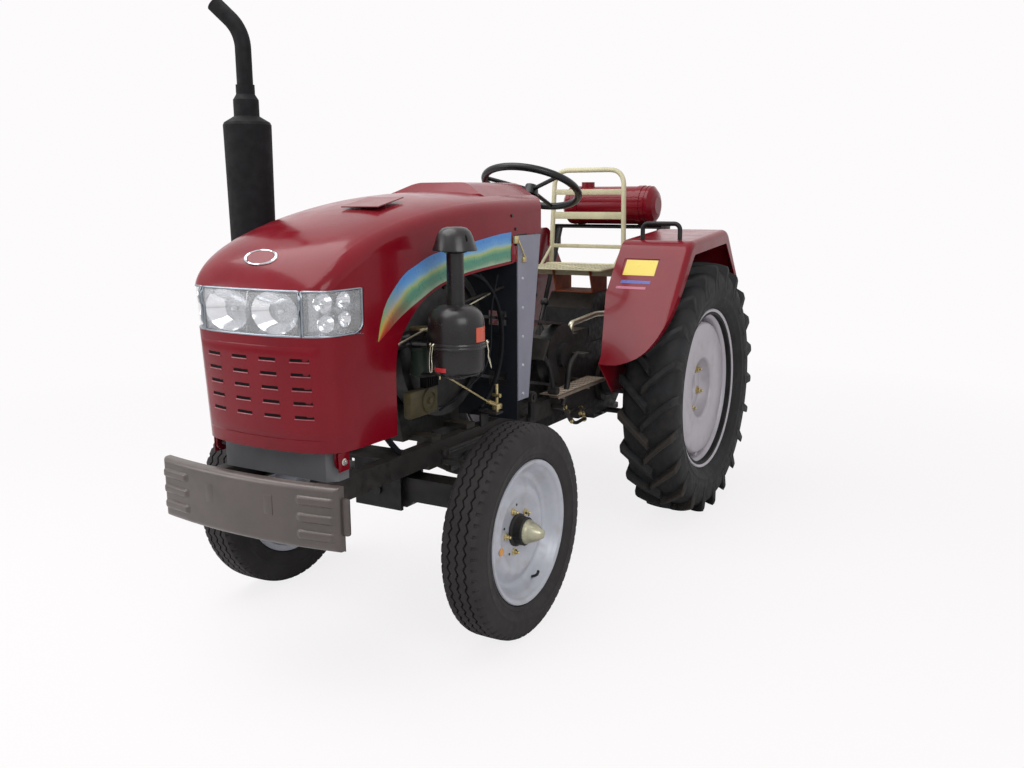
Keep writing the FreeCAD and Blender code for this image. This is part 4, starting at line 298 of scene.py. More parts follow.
# %% Enamels on panels
MAROON = finish("maroon_enamel", ("6E0818", "780A1B"), 160, (0.16, 0.26), 9, 0.05,
                shine={SPECULAR: 0.17, COAT: 0.12, COAT_ROUGH: 0.05},
                layers=[(settled_dust, 0.05, "9A7C7C", 0.5)])
BUMPER = finish("bumper_flake_enamel", ("49423F", "544C49"), 90, (0.36, 0.48), 2.5, 0.03, 0.4,
                shine={COAT: 0.3, COAT_ROUGH: 0.15}, layers=[(settled_dust, 0.18, "8A837C")])
PLATE = finish("nose_plate_grey_enamel", ("66676A", "707174"), 100, (0.38, 0.52), 4, 0.04, 0.1,
               layers=[(settled_dust, 0.15, "8A837C")])
PILLAR = finish("pillar_grey_enamel", ("787A88", "828491"), 110, (0.4, 0.55), 5, 0.04,
                layers=[(settled_dust, 0.3, "A59F96")])
FIREWALL = finish("firewall_enamel", ("15181E", "1D2128"), 80, (0.45, 0.6), 4, 0.04,
                  shine={SPECULAR: 0.25}, layers=[(settled_dust, 0.3, "7B746B")])
# A paler red on the lip under each lanced slot: a painted highlight along its rounded edge.
LIP_HIGHLIGHT = finish("lanced_edge_enamel", ("8C3A44", "9C5058"), 20, (0.25, 0.35), 3, 0.03)
print("panel enamels", [enamel.name for enamel in (MAROON, BUMPER, PLATE, PILLAR, FIREWALL, LIP_HIGHLIGHT)])

# %% Enamels on frame, wheels and seat
CHASSIS = finish("chassis_black_enamel", ("0C0C0E", "161516"), 70, (0.4, 0.6), 3, 0.12,
                 shine={SPECULAR: 0.3},
                 layers=[(worn_edges, 0.5, "4B4642"), (settled_dust, 0.35, "4A443D")])
WHEEL = finish("wheel_silver_enamel", ("B3B6BE", "A6A9B3"), 120, (0.34, 0.48), 4, 0.04, 0.15,
               layers=[(road_stain, (0.5, 0.75, 0.35), "8E8578")])
REAR_WHEEL_PAINT = finish("rear_wheel_enamel", ("B8B4BA", "ADA9B0"), 150, (0.36, 0.5), 4, 0.04, 0.1,
                          layers=[(road_stain, (0.55, 0.8, 0.25), "857E76")])
SEAT = finish("seat_cream_enamel", ("C9C3A2", "B7B190"), 60, (0.45, 0.6), 2.5, 0.05,
              layers=[(worn_edges, 0.6, "8C8672")])
# Orange-brown iron oxide primer, matt and thin over steel.
PRIMER = finish("iron_oxide_primer", ("A4562E", "8A4526"), 50, (0.7, 0.85), 2, 0.1,
                layers=[(settled_dust, 0.4, "93806F")])
CLEANER = finish("air_cleaner_enamel", ("141213", "1A1819"), 90, (0.24, 0.36), 4, 0.03,
                 shine={SPECULAR: 0.35, COAT: 0.1, COAT_ROUGH: 0.12},
                 layers=[(settled_dust, 0.2, "5A5653", 0.5)])
print("enamels ready")

# %% [markdown]
# ### Castings, bare metals and heat-proof black
# Sand casting leaves a skin like fine sandpaper, a grit of about one millimetre, drawn
# here at two so that it shows. Castings are dipped in dark paint with oil and dust on it.
# Bolts and clips are zinc plated with a yellow chromate, which is what gives them their
# brass look. The silencer's heat-proof black has no binder left to shine.

# %% Castings and metals
def cast_iron_paint(name, tints):
    """Painted sand casting, oily and dusty by turns."""
    return finish(name, tints, 45, (0.35, 0.7), 2.2, 0.5, shine={SPECULAR: 0.3},
                  layers=[(worn_edges, 0.5, "57534C"), (settled_dust, 0.5, "5B5247")])


ENGINE = cast_iron_paint("engine_cast_iron", ("111110", "1C1B18"))
OLIVE = cast_iron_paint("olive_cast_iron", ("3B351E", "51492B"))
GEARBOX = cast_iron_paint("transaxle_cast_iron", ("101011", "1A1919"))
GREEN_IRON = cast_iron_paint("green_black_iron", ("1D2A22", "26332A"))
PULLEY = finish("turned_pulley_iron", ("2A2A2B", "3B3A39"), 40, (0.35, 0.55), 1.5, 0.08, 0.7)
HEAT = finish("heat_proof_black", ("0A0A0C", "121215"), 60, (0.6, 0.8), 2, 0.15,
              shine={SPECULAR: 0.2})
YELLOW_ZINC = finish("yellow_zinc_plating", ("B9A25C", "D2C7A0"), 9, (0.25, 0.42), 1.2, 0.03, 0.9)
ZINC = finish("bright_zinc_plating", ("B9B9B4", "CFCFC6"), 12, (0.22, 0.38), 1.5, 0.03, 0.9)
CAP_ZINC = finish("hub_cap_zinc", ("9D9B82", "B4B19B"), 14, (0.28, 0.4), 2, 0.03, 0.6)
CHROME = finish("chrome_plating", ("C9CCD0", "D8DADC"), 30, (0.06, 0.14), 3, 0.01, 1.0)
# Checker plate: earth lies between its raised bars, which boots rub paler.
CHECKER = finish("dusty_checker_plate", ("6E6257", "82756A"), 35, (0.55, 0.8), 2, 0.2, 0.2,
                 layers=[(settled_dust, 0.75, "A08E79")])
CHECKER_BAR = finish("rubbed_checker_bars", ("9A8A7A", "B3A493"), 20, (0.4, 0.6), 2, 0.05, 0.3)
print("metals ready")

# %% [markdown]
# ### Rubber, moulded plastic, lens and printed film
# Tyre rubber is carbon black, greyed by bloom and by dust that stays in the grooves. The
# steering wheel's grip and the pipes are smoother blacks. A lens is clear moulded acrylic
# over mirror-bright reflectors. Printed film is a flat, even gloss laid over the enamel.

# %% Rubber, plastic and lamp finishes
def tyre_rubber(name, tints, dust_hex, dust):
    """Carbon-black tread rubber with a grey bloom and dust in its hollows."""
    return finish(name, tints, 70, (0.55, 0.75), 2.4, 0.12, shine={SPECULAR: 0.2},
                  layers=[(tread_dust, dust, dust_hex)])


def satin_dark(name, tints):
    """Unlit inside of a pressing, or a soft black coat: nearly no shine."""
    return finish(name, tints, 60, (0.6, 0.75), 4, 0.03, shine={SPECULAR: 0.1})


def silvered(name, tints, rough):
    """Vapour-coated aluminium on moulded plastic: a bright mirror with faint ripples."""
    return finish(name, tints, 25, rough, 6, 0.05, 1.0)


FRONT_RUBBER = tyre_rubber("ribbed_tyre_rubber", ("252324", "2E2C2D"), "413C37", 0.3)
REAR_RUBBER = tyre_rubber("lug_tyre_rubber", ("191A1C", "252729"), "453D35", 0.45)
# The same black also stands as painted shade in the holes of the front wheel discs.
GRIP_AND_HOLE_SHADE = finish("black_moulded_grip", ("0A0B0D", "121317"), 50, (0.3, 0.42), 2, 0.06,
              shine={SPECULAR: 0.35})
BELT = finish("black_belt_rubber", ("141414", "1F1E1D"), 30, (0.45, 0.6), 1.8, 0.1)
# A flat black of painted shade, laid behind the grille's slots, in the pan's holes and in the cap's slit.
PAINTED_SHADE = satin_dark("slot_shadow_black", ("050505", "0A0909"))
HOSE = satin_dark("black_hose_rubber", ("151619", "1E1F22"))
# Clear acrylic, index 1.49. Light passes it unbent, as in a thin shell.
LENS = finish("clear_acrylic_cover", ("FDFEFF", "F3F7FA"), 40, (0.01, 0.03), 12, 0.02,
              shine={"IOR": 1.49, "Alpha": 0.16})
SILVERED = silvered("silvered_reflector", ("D4D6DA", "E2E3E6"), (0.08, 0.16))
SILVERED_DULL = silvered("silvered_housing", ("9A9DA3", "ACAFB5"), (0.2, 0.3))
FRAME_GREY = silvered("lamp_frame_grey", ("8B9199", "989FA6"), (0.18, 0.28))
ROD_ZINC = silvered("pale_zinc_rod", ("B9B39A", "CBC7B4"), (0.3, 0.42))
BULB = finish("bulb_glass", ("D9DDE0", "C9CED2"), 10, (0.08, 0.15), 3, 0.01)
print("rubber, plastic and lamp finishes ready")


# %% Printed films
def start_film(name, hex_code):
    """A printed film in one colour, slightly glossier than the enamel round it."""
    return start_finish(name, (hex_code, hex_code), 60, (0.25, 0.35), 6, 0.01)


def set_bands(ramp, stops):
    """The colour stops of a ramp, as (place, hex) pairs."""
    bands = ramp.color_ramp.elements
    while len(bands) < len(stops):
        bands.new(0.5)
    for band, (at, hex_code) in zip(bands, stops):
        band.position = at
        band.color = paint(hex_code)


def band_film():
    """Printed film: blue along its outer edge, green below, and red at its low front tip."""
    parts = start_film("printed_band_film", "2E7FA8")
    tree = parts["tree"]
    chart = add(tree, "ShaderNodeUVMap", uv_map="chart").outputs[0]
    chart = add(tree, "ShaderNodeSeparateXYZ", {0: chart}).outputs
    drift = noise(tree, parts["place"], 70, 2.0)
    across = add(tree, "ShaderNodeMath", {0: drift, 1: 0.22, 2: chart["Y"]}, operation="MULTIPLY_ADD")
    ramp = add(tree, "ShaderNodeValToRGB", {"Fac": across.outputs[0]})
    set_bands(ramp, [(0.10, "8FA58C"), (0.26, "4F8468"), (0.44, "3F7F6C"), (0.56, "6F9A6C"),
                     (0.63, "9DA968"), (0.71, "7FA9B4"), (0.80, "5B93C6"), (1.0, "3F7FC0")])
    tip = add(tree, "ShaderNodeValToRGB", {"Fac": across.outputs[0]})
    set_bands(tip, [(0.1, "8E1A26"), (0.45, "A8482E"), (0.75, "BE9648"), (1.0, "8FA05A")])
    colour = blend(tree, remap(tree, chart["X"], 0.06, 0.26), tip.outputs[0], ramp.outputs[0])
    tree.links.new(colour, parts["shader"].inputs["Base Color"])
    return parts["material"]


BAND_FILM = band_film()
FILMS = {name: start_film(name, hex_code)["material"] for name, hex_code in {
    "orange_paper_dot": "C98A3A", "yellow_plate_film": "D9C13A", "blue_stripe_film": "2E3F96",
    "pink_stripe_film": "A84A66", "orange_red_sticker": "C2553F", "red_tag_film": "B02A2E"}.items()}
print("finishes made:", len(bpy.data.materials))

# %% [markdown]
# ### Dress the CAD nodes
# Each CAD solid gets the finish that the real piece has, by name. The ones that a finer
# piece stands in for below are dressed too, so that no node is left plain.

# %% Finishes for the CAD nodes
NODE_FINISHES = {
    CHASSIS: ["frame_rails", "front_crossmembers", "front_axle_beam", "knuckle_left", "knuckle_right",
              "tie_rod", "pitman_arm", "drag_link", "drawbar", "lower_links", "lift_arms", "lift_rods",
              "foot_pedals", "control_levers", "steering_column", "grab_handles", "step_shelf"],
    ENGINE: ["engine_block", "water_tank"],
    OLIVE: ["cylinder_head"],
    GEARBOX: ["gearbox_case", "rear_axle_housing", "lift_housing"],
    PULLEY: ["drive_pulleys"],
    BELT: ["drive_belts"],
    HEAT: ["exhaust_stack"],
    CLEANER: ["air_cleaner_with_pipe"],
    FIREWALL: ["firewall"],
    PILLAR: ["dash_pillars"],
    BUMPER: ["bumper"],
    PLATE: ["nose_plate"],
    CHECKER: ["foot_platforms"],
    PRIMER: ["seat_bracket", "tank_bracket"],
    SEAT: ["seat_pan", "seat_frame"],
    GRIP_AND_HOLE_SHADE: ["steering_wheel"],
    MAROON: ["hood_shell", "fender_left", "fender_right", "fuel_tank"],
    LENS: ["headlamps"],
    FRONT_RUBBER: ["front_tyre_left", "front_tyre_right"],
    REAR_RUBBER: ["rear_tyre_left", "rear_tyre_right"],
    WHEEL: ["front_rim_left", "front_rim_right", "rear_rim_left", "rear_rim_right"],
}
for material, names in NODE_FINISHES.items():
    for name in names:
        materials = NODES[name].data.materials
        if not materials:
            materials.append(material)
        for index in range(len(materials)):
            materials[index] = material
dressed = {name for names in NODE_FINISHES.values() for name in names}
print("dressed", len(dressed), "of", len(NODES), "left", sorted(set(NODES) - dressed))

# %% [markdown]
# ## Turned shapes
# A rim, a tyre, a lamp bowl or an exhaust is a solid of revolution: one outline, turned
# about an axle. One helper turns an outline of (along, radius) pairs about any axis, and
# closes the poles where the radius is nothing. Another makes finished mesh data a piece:
# it smooths the faces, keeps edges sharper than 35 degrees crisp, gives the piece its
# finish and makes it ride on the CAD body that carries it.

# %% Helpers for meshes
SIDES = (("left", 1), ("right", -1))
X_AXIS = (1, 0, 0)


def mm(*numbers):
    """Pairs in metres from a run of millimetres, such as the (along, radius) of an outline."""
    return [(a / 1000, b / 1000) for a, b in zip(numbers[::2], numbers[1::2])]


def new_mesh(points, faces):
    """Mesh data from points in metres and faces."""
    mesh = bpy.data.meshes.new("made")
    mesh.from_pydata(points, [], faces)
    return mesh


def worked(work):
    """Mesh data from a bmesh, which is then freed."""
    mesh = bpy.data.meshes.new("worked")
    work.to_mesh(mesh)
    work.free()
    return mesh


def box_of(node):
    """The low and the high corner of a node's box."""
    return [Vector(corner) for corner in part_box(node)]


def ring_faces(rings, size, closed=False):
    """Faces between rings of equal size, one after the other, capped if not closed."""
    faces = []
    for ring in range(rings if closed else rings - 1):
        here, after = ring * size, (ring + 1) % rings * size
        for index in range(size):
            beside = (index + 1) % size
            faces.append((here + index, here + beside, after + beside, after + index))
    if not closed:
        faces += [tuple(range(size)), tuple(range((rings - 1) * size, rings * size))]
    return faces


def make_piece(name, mesh, material, body, sharp=35, stands_for=()):
    """Links a mesh as a piece of the tractor, with its finish and body."""
    work = bmesh.new()
    work.from_mesh(mesh)
    bmesh.ops.remove_doubles(work, verts=work.verts, dist=1e-6)
    bmesh.ops.recalc_face_normals(work, faces=work.faces)
    work.to_mesh(mesh)
    work.free()
    mesh.shade_smooth()
    mesh.set_sharp_from_angle(angle=math.radians(sharp))
    mesh.materials.clear()
    mesh.materials.append(material)
    piece = bpy.data.objects.new(name, mesh)
    bpy.context.scene.collection.objects.link(piece)
    if stands_for:
        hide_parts(*stands_for)
    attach(piece, body)
    return piece


tyre_size = box_of("front_tyre_left")[1] - box_of("front_tyre_left")[0]
print("front tyre", [round(side, 3) for side in tyre_size], "m")


# %% Turned and joined meshes
def axis_frame(axis):
    """Two directions square to an axis, to turn an outline about it."""
    axis = Vector(axis).normalized()
    helper = Vector((0, 0, 1)) if abs(axis.z) < 0.9 else Vector((0, 1, 0))
    first = (helper - axis * helper.dot(axis)).normalized()
    return axis, first, axis.cross(first)


def turned_mesh(outline, steps, centre=(0, 0, 0), axis=(0, 0, 1), closed=False):
    """A mesh of (along, radius) pairs turned about an axis through a centre, in metres."""
    axis, first, second = axis_frame(axis)
    points, faces, rings = [], [], []
    for along, radius in outline:
        start = len(points)
        count = 1 if radius == 0 else steps
        for index in range(count):
            angle = 2 * math.pi * index / steps
            out = first * math.cos(angle) + second * math.sin(angle)
            points.append(Vector(centre) + axis * along + out * radius)
        rings.append((start, count))
    pairs = list(zip(rings, rings[1:]))
    if closed:
        pairs.append((rings[-1], rings[0]))
    for (low, low_count), (high, high_count) in pairs:
        for index in range(steps):
            after = (index + 1) % steps
            corners = [low + index % low_count, low + after % low_count,
                       high + after % high_count, high + index % high_count]
            face = list(dict.fromkeys(corners))
            if len(face) > 2:
                faces.append(face)
    return new_mesh(points, faces)


def joined_mesh(meshes):
    """Several meshes as one."""
    work = bmesh.new()
    for mesh in meshes:
        work.from_mesh(mesh)
    return worked(work)


print("turned meshes ready")

# %% [markdown]
# ## Ribbed front tyres
# A steered wheel carries a ribbed tyre: long zigzag grooves run round it so that it holds
# its line, and short slots cross the shoulders. The whole tread follows one rule, so the
# mesh is a grid: columns across the tyre, steps round it. Groove columns shift from side
# to side with each step, which gives crisp zigzag walls with few faces, and a slot lowers
# the shoulder columns at every second step.

# %% Front tyre mesh
ZIGZAGS = 64
STEPS_PER_ZIGZAG = 8
GROOVE_CENTRES = (-0.026, 0.0, 0.026)
GROOVE_DEPTH = 0.008
ZIGZAG_SHIFT = 0.0042
CROWN_FALL = 0.003


def front_tread_columns(half):
    """Columns across the tread: (place across, drop, share of the zigzag, slot depth)."""
    columns = []
    for centre in GROOVE_CENTRES:
        columns += [(centre - 0.0034, 0, 1, 0), (centre - 0.0024, GROOVE_DEPTH, 1, 0),
                    (centre + 0.0024, GROOVE_DEPTH, 1, 0), (centre + 0.0034, 0, 1, 0)]
        columns.append((centre + 0.013, 0, 0.3, 0))
    columns[-1] = (0.0375, 0, 0, 0)
    columns.insert(0, (-0.0375, 0, 0, 0))
    shoulder = [(0.044, 0.0005, 0, 0), (0.0445, 0.001, 0, 0.005), (half - 0.0125, 0.003, 0, 0.006),
                (half - 0.008, 0.008, 0, 0.005), (half - 0.0065, 0.0125, 0, 0.001)]
    return [(-x, drop, zig, slot) for x, drop, zig, slot in reversed(shoulder)] + columns + shoulder


def tyre_side(half, radius, flange, lip):
    """The side wall from the shoulder to the bead: (place across, radius), with fine rings."""
    return [(half - 0.0045, radius - 0.022), (half - 0.0015, radius - 0.034), (half, radius - 0.048),
            (half - 0.0004, radius - 0.056), (half + 0.0006, radius - 0.058),
            (half + 0.0004, radius - 0.061), (half - 0.0012, radius - 0.063),
            (half - 0.0045, flange + 0.030), (half - 0.0085, flange + 0.017),
            (half - 0.0075, flange + 0.0155), (half - 0.009, flange + 0.012),
            (lip + 0.001, flange + 0.0035), (lip - 0.0035, flange + 0.001),
            (lip - 0.006, flange - 0.0145)]


def front_tyre_mesh(node):
    """A closed ring with its tread, made inside the CAD tyre's box."""
    low, high = box_of(node)
    centre, radius, half = (low + high) / 2, (high.z - low.z) / 2, (high.x - low.x) / 2
    rim_low, rim_high = box_of(node.replace("tyre", "rim"))
    flange, lip = (rim_high.z - rim_low.z) / 2, half - 0.014
    wall = tyre_side(half, radius, flange, lip)
    columns = front_tread_columns(half)
    steps = ZIGZAGS * STEPS_PER_ZIGZAG
    points = []
    for step in range(steps):
        phase = step % STEPS_PER_ZIGZAG / STEPS_PER_ZIGZAG
        shift = ZIGZAG_SHIFT * (4 * abs(phase - 0.5) - 1)
        slot = 1 if step % STEPS_PER_ZIGZAG in (3, 4) else 0
        angle = 2 * math.pi * step / steps
        ring = [(-x, r) for x, r in reversed(wall)]
        for x, drop, zig, depth in columns:
            crown = CROWN_FALL * (x / half) ** 2
            ring.append((x + shift * zig, radius - crown - drop - depth * slot))
        ring += wall
        for across, up in ring:
            points.append((centre.x + across, centre.y + up * math.cos(angle),
                           centre.z + up * math.sin(angle)))
    return new_mesh(points, ring_faces(steps, len(columns) + 2 * len(wall), closed=True))


for side, sign in SIDES:
    tyre = make_piece(f"ribbed_tyre_{side}", front_tyre_mesh(f"front_tyre_{side}"), FRONT_RUBBER,
                      f"front_wheel_{side}", stands_for=[f"front_tyre_{side}"])
    print(tyre.name, "faces", len(tyre.data.polygons))

# %% [markdown]
# ## Lugged rear tyres
# The driven tyre bites with tall bars in a chevron, moulded in one with the carcass: each
# starts at the middle, sweeps back to the shoulder and fades down the side wall. The
# carcass is a turned outline. One bar is a small loft of eight-sided sections, and
# Geometry Nodes repeat it round the axle, once for each hand, half a pitch apart.

# %% A tree that repeats a mesh round an axle
def open_tree(name, places):
    """A new tree with its named inputs: a mesh, how many copies, their places, their finish."""
    tree = bpy.data.node_groups.new(name, "GeometryNodeTree")
    kinds = {"Geometry": "Geometry", "Count": "Int", **{place: "Vector" for place in places},
             "Finish": "Material"}
    for socket, kind in kinds.items():
        tree.interface.new_socket(socket, in_out="INPUT", socket_type=f"NodeSocket{kind}")
    tree.interface.new_socket("Geometry", in_out="OUTPUT", socket_type="NodeSocketGeometry")
    return tree, add(tree, "NodeGroupInput").outputs


def close_tree(tree, copies, given):
    """Makes the copies real, gives them their finish and ends the tree."""
    real = add(tree, "GeometryNodeRealizeInstances", {0: copies.outputs[0]})
    done = add(tree, "GeometryNodeSetMaterial", {"Geometry": real.outputs[0], "Material": given["Finish"]})
    tree.links.new(done.outputs[0], add(tree, "NodeGroupOutput").inputs[0])
    return tree


def polar_tree():
    """Geometry Nodes: copies of the incoming mesh turned about X through a centre."""
    tree, given = open_tree("repeat_round_axle", ["Centre"])
    seats = add(tree, "GeometryNodeMeshLine", {"Count": given["Count"], "Offset": (0, 0, 0)})
    index = add(tree, "GeometryNodeInputIndex")
    share = add(tree, "ShaderNodeMath", {0: index.outputs[0], 1: given["Count"]}, operation="DIVIDE")
    angle = add(tree, "ShaderNodeMath", {0: share.outputs[0], 1: 2 * math.pi}, operation="MULTIPLY")
    turned = add(tree, "ShaderNodeCombineXYZ", {"X": angle.outputs[0]})
    copies = add(tree, "GeometryNodeInstanceOnPoints",
                 {"Points": seats.outputs[0], "Instance": given["Geometry"], "Rotation": turned.outputs[0]})
    moved = add(tree, "GeometryNodeTransform", {"Geometry": copies.outputs[0],
                                                "Translation": given["Centre"]})
    return close_tree(tree, moved, given)


def modified(mesh, kind, set_up):
    """What one modifier makes of a mesh, as plain mesh data."""
    carrier = bpy.data.objects.new("carrier", mesh)
    bpy.context.scene.collection.objects.link(carrier)
    set_up(carrier.modifiers.new("change", kind))
    graph = bpy.context.evaluated_depsgraph_get()
    result = bpy.data.meshes.new_from_object(carrier.evaluated_get(graph), depsgraph=graph)
    carrier.modifiers.clear()
    bpy.data.objects.remove(carrier)
    return result


def grown(mesh, tree, inputs):
    """The mesh that a Geometry Nodes tree makes of a mesh; its inputs are set by name."""
    def set_up(modifier):
        modifier.node_group = tree
        for item in tree.interface.items_tree:
            if item.in_out == "INPUT" and item.name in inputs:
                modifier[item.identifier] = inputs[item.name]
    return modified(mesh, "NODES", set_up)


ROUND_AXLE = polar_tree()


def round_axle(mesh, count, centre, material):
    """Copies of a mesh, made about the origin, turned round an X axle through a centre."""
    return grown(mesh, ROUND_AXLE, {"Count": count, "Centre": tuple(centre), "Finish": material})


print("tree", ROUND_AXLE.name, "nodes", len(ROUND_AXLE.nodes))


# %% Rear tyre mesh
LUGS, LUG_TALL, LUG_SWEEP = 22, 0.026, math.radians(12.4)
REAR_LIP = 0.080


def lug_mesh(half, crown, tip, hand):
    """One bar at the top of the wheel, about an axle through the origin."""
    stations = []
    for step in range(11):
        share = step / 10
        across = -0.010 + (half - 0.004 + 0.010) * share
        sweep = LUG_SWEEP * (share - 0.16 * share * share) / 0.84
        top = tip - 0.010 * share ** 3
        foot = crown - 0.016 - 0.040 * share ** 3
        stations.append((across, sweep, foot, top, 0.023 - 0.002 * share, 0.0145))
    over = stations[-1]
    stations.append((half + 0.001, over[1] + 0.004, crown - 0.085, tip - 0.022, 0.020, 0.012))
    stations.append((half - 0.001, over[1] + 0.008, crown - 0.085, crown - 0.045, 0.016, 0.006))
    points = []
    for across, sweep, foot, top, wide, narrow in stations:
        section = [(-wide, foot), (-wide * 0.93, foot + 0.006), (-narrow, top - 0.004),
                   (-narrow * 0.72, top), (narrow * 0.72, top), (narrow, top - 0.004),
                   (wide * 0.93, foot + 0.006), (wide, foot)]
        for offset, radius in section:
            angle = sweep + offset / radius
            points.append((across * hand, radius * math.sin(angle), radius * math.cos(angle)))
    mesh = new_mesh(points, ring_faces(len(stations), len(section)))
    if hand < 0:
        mesh.transform(Matrix.Rotation(math.pi / LUGS, 4, "X"))
    return mesh


def rear_tyre_mesh(node):
    """Carcass and bars inside the CAD tyre's box."""
    low, high = box_of(node)
    centre, half = (low + high) / 2, (high.x - low.x) / 2
    tip = centre.z
    crown = tip - LUG_TALL
    rim_low, rim_high = box_of(node.replace("tyre", "rim"))
    flange, lip = (rim_high.z - rim_low.z) / 2, REAR_LIP
    side = [(0.055, crown - 0.001), (half - 0.034, crown - 0.005), (half - 0.017, crown - 0.014),
            (half - 0.006, crown - 0.030), (half - 0.001, crown - 0.052), (half, crown - 0.078),
            (half - 0.002, flange + 0.062), (half - 0.006, flange + 0.048), (half - 0.005, flange + 0.045),
            (half - 0.010, flange + 0.034), (lip + 0.014, flange + 0.019), (lip + 0.013, flange + 0.0165),
            (lip + 0.006, flange + 0.009), (lip - 0.003, flange + 0.001), (lip - 0.006, flange - 0.024)]
    outline = [(-x, r) for x, r in reversed(side)] + side
    parts = [turned_mesh(outline, 176, centre, X_AXIS, closed=True)]
    for hand in (1, -1):
        parts.append(round_axle(lug_mesh(half, crown, tip, hand), LUGS, centre, REAR_RUBBER))
    return joined_mesh(parts)


for side, sign in SIDES:
    tyre = make_piece(f"lugged_tyre_{side}", rear_tyre_mesh(f"rear_tyre_{side}"), REAR_RUBBER,
                      f"rear_wheel_{side}", sharp=40, stands_for=[f"rear_tyre_{side}"])
    print(tyre.name, "faces", len(tyre.data.polygons))

# %% [markdown]
# ## Small parts: boxes, swept wires and rows
# The trim is made of three things. Blocks with broken edges make tabs, plates and frames.
# Wires, pipes and rims are a round section swept along a line. Rows of equal parts come
# from a second Geometry Nodes tree that repeats a mesh in a straight line. What lies on a
# curved panel finds its height by casting a ray at the CAD panel below it.

# %% Blocks and swept bars
def block_mesh(low, high, edge=0.001):
    """A block between two corners with its edges broken."""
    work = bmesh.new()
    bmesh.ops.create_cube(work, size=1)
    low, high = Vector(low), Vector(high)
    for vertex in work.verts:
        vertex.co = Vector(l + (h - l) * (c + 0.5) for l, h, c in zip(low, high, vertex.co))
    if edge:
        bmesh.ops.bevel(work, geom=work.edges, offset=edge, segments=2, affect="EDGES", profile=0.5)
    return worked(work)


def side_block(sign, low, high, edge=0.001):
    """A block given for the left side of the tractor, or its twin on the right."""
    first, last = sorted((low[0] * sign, high[0] * sign))
    return block_mesh((first, *low[1:]), (last, *high[1:]), edge)


def on_side(mesh, sign):
    """A mesh made for the left side, mirrored for the right."""
    if sign < 0:
        mesh.transform(Matrix.Scale(-1, 4, X_AXIS))
        mesh.flip_normals()
    return mesh


def rounded_path(corners, bend, steps=6):
    """A line of points through corners, each corner rounded by a quadratic arc."""
    corners = [Vector(corner) for corner in corners]
    path = [corners[0]]
    for before, corner, after in zip(corners, corners[1:], corners[2:]):
        reach = min(bend, (before - corner).length * 0.49, (after - corner).length * 0.49)
        start = corner + (before - corner).normalized() * reach
        end = corner + (after - corner).normalized() * reach
        for step in range(steps + 1):
            t = step / steps
            path.append(start * (1 - t) ** 2 + corner * 2 * t * (1 - t) + end * t ** 2)
    path.append(corners[-1])
    return path


def swept_mesh(path, radius, sides=12, closed=False):
    """A round bar along a line of points, capped at its ends."""
    path = [Vector(point) for point in path]
    count = len(path)
    headings = []
    for index, point in enumerate(path):
        before = path[index - 1] if index or closed else point
        after = path[(index + 1) % count] if index < count - 1 or closed else point
        headings.append((after - before).normalized())
    across = headings[0].orthogonal().normalized()
    points = []
    for point, heading in zip(path, headings):
        across = (across - heading * across.dot(heading)).normalized()
        up = heading.cross(across)
        for side in range(sides):
            angle = 2 * math.pi * side / sides
            points.append(point + (across * math.cos(angle) + up * math.sin(angle)) * radius)
    return new_mesh(points, ring_faces(count, sides, closed))


print("blocks and bars ready")


# %% Sheets on a grid of points
def grid_faces(rows, columns):
    """The faces of an open grid of points, row by row."""
    faces = []
    for row in range(rows - 1):
        for column in range(columns - 1):
            here, above = row * columns + column, (row + 1) * columns + column
            faces.append((here, here + 1, above + 1, above))
    return faces


def patch(point_at, across, up, columns, rows):
    """A grid of what a function gives over a range across and a range up."""
    grid = []
    for row in range(rows + 1):
        level = up[0] + (up[1] - up[0]) * row / rows
        grid.append([point_at(across[0] + (across[1] - across[0]) * step / columns, level)
                     for step in range(columns + 1)])
    return grid


def border(grid):
    """What lies round the edge of a grid, in order."""
    around = [*grid[0], *(row[-1] for row in grid[1:])]
    return around + [*reversed(grid[-1][:-1]), *(row[0] for row in reversed(grid[1:-1]))]


def slab_mesh(grid, thick):
    """A closed sheet on a grid of (point, outward normal), thickened inward."""
    rows, columns = len(grid), len(grid[0])
    points = [point for row in grid for point, normal in row]
    points += [point - normal * thick for row in grid for point, normal in row]
    back, faces = rows * columns, []
    for a, b, c, d in grid_faces(rows, columns):
        faces += [(a, b, c, d), (back + a, back + d, back + c, back + b)]
    rim = border([range(row * columns, (row + 1) * columns) for row in range(rows)])
    for here, after in zip(rim, rim[1:] + rim[:1]):
        faces.append((here, after, back + after, back + here))
    return new_mesh(points, faces)


def sheet_of(mesh, thick, facing):
    """An open mesh turned to a closed sheet; its outer side faces a direction."""
    if sum((face.normal * face.area for face in mesh.polygons), Vector()).dot(Vector(facing)) < 0:
        mesh.flip_normals()

    def set_up(modifier):
        modifier.thickness = thick
        modifier.offset = -1
    return modified(mesh, "SOLIDIFY", set_up)


print("sheets ready")


# %% Bolts, rows and rays
CLEAR_OF_SIDE = 0.5


def placed(mesh, place, facing=(0, 0, 1), scale=(1, 1, 1), spin=0.0):
    """The mesh scaled, turned so that its Z faces a direction, and moved."""
    turn = Vector(facing).to_track_quat("Z", "Y").to_matrix().to_4x4()
    size = Matrix.Diagonal((*scale, 1))
    mesh.transform(Matrix.Translation(Vector(place)) @ turn @ Matrix.Rotation(spin, 4, "Z") @ size)
    return mesh


def bolt_mesh(width, height, washer=1.5, sides=6):
    """A hexagon head on a round washer, its Z away from the panel it holds."""
    flat = width / 2
    head = turned_mesh([(-0.002, 0), (-0.002, flat), (height * 0.8, flat), (height, flat * 0.82),
                        (height, 0)], sides)
    ring = turned_mesh([(-0.002, 0), (-0.002, flat * washer), (height * 0.2, flat * washer),
                        (height * 0.25, flat * washer * 0.94), (height * 0.25, 0)], 20)
    return joined_mesh([head, ring])


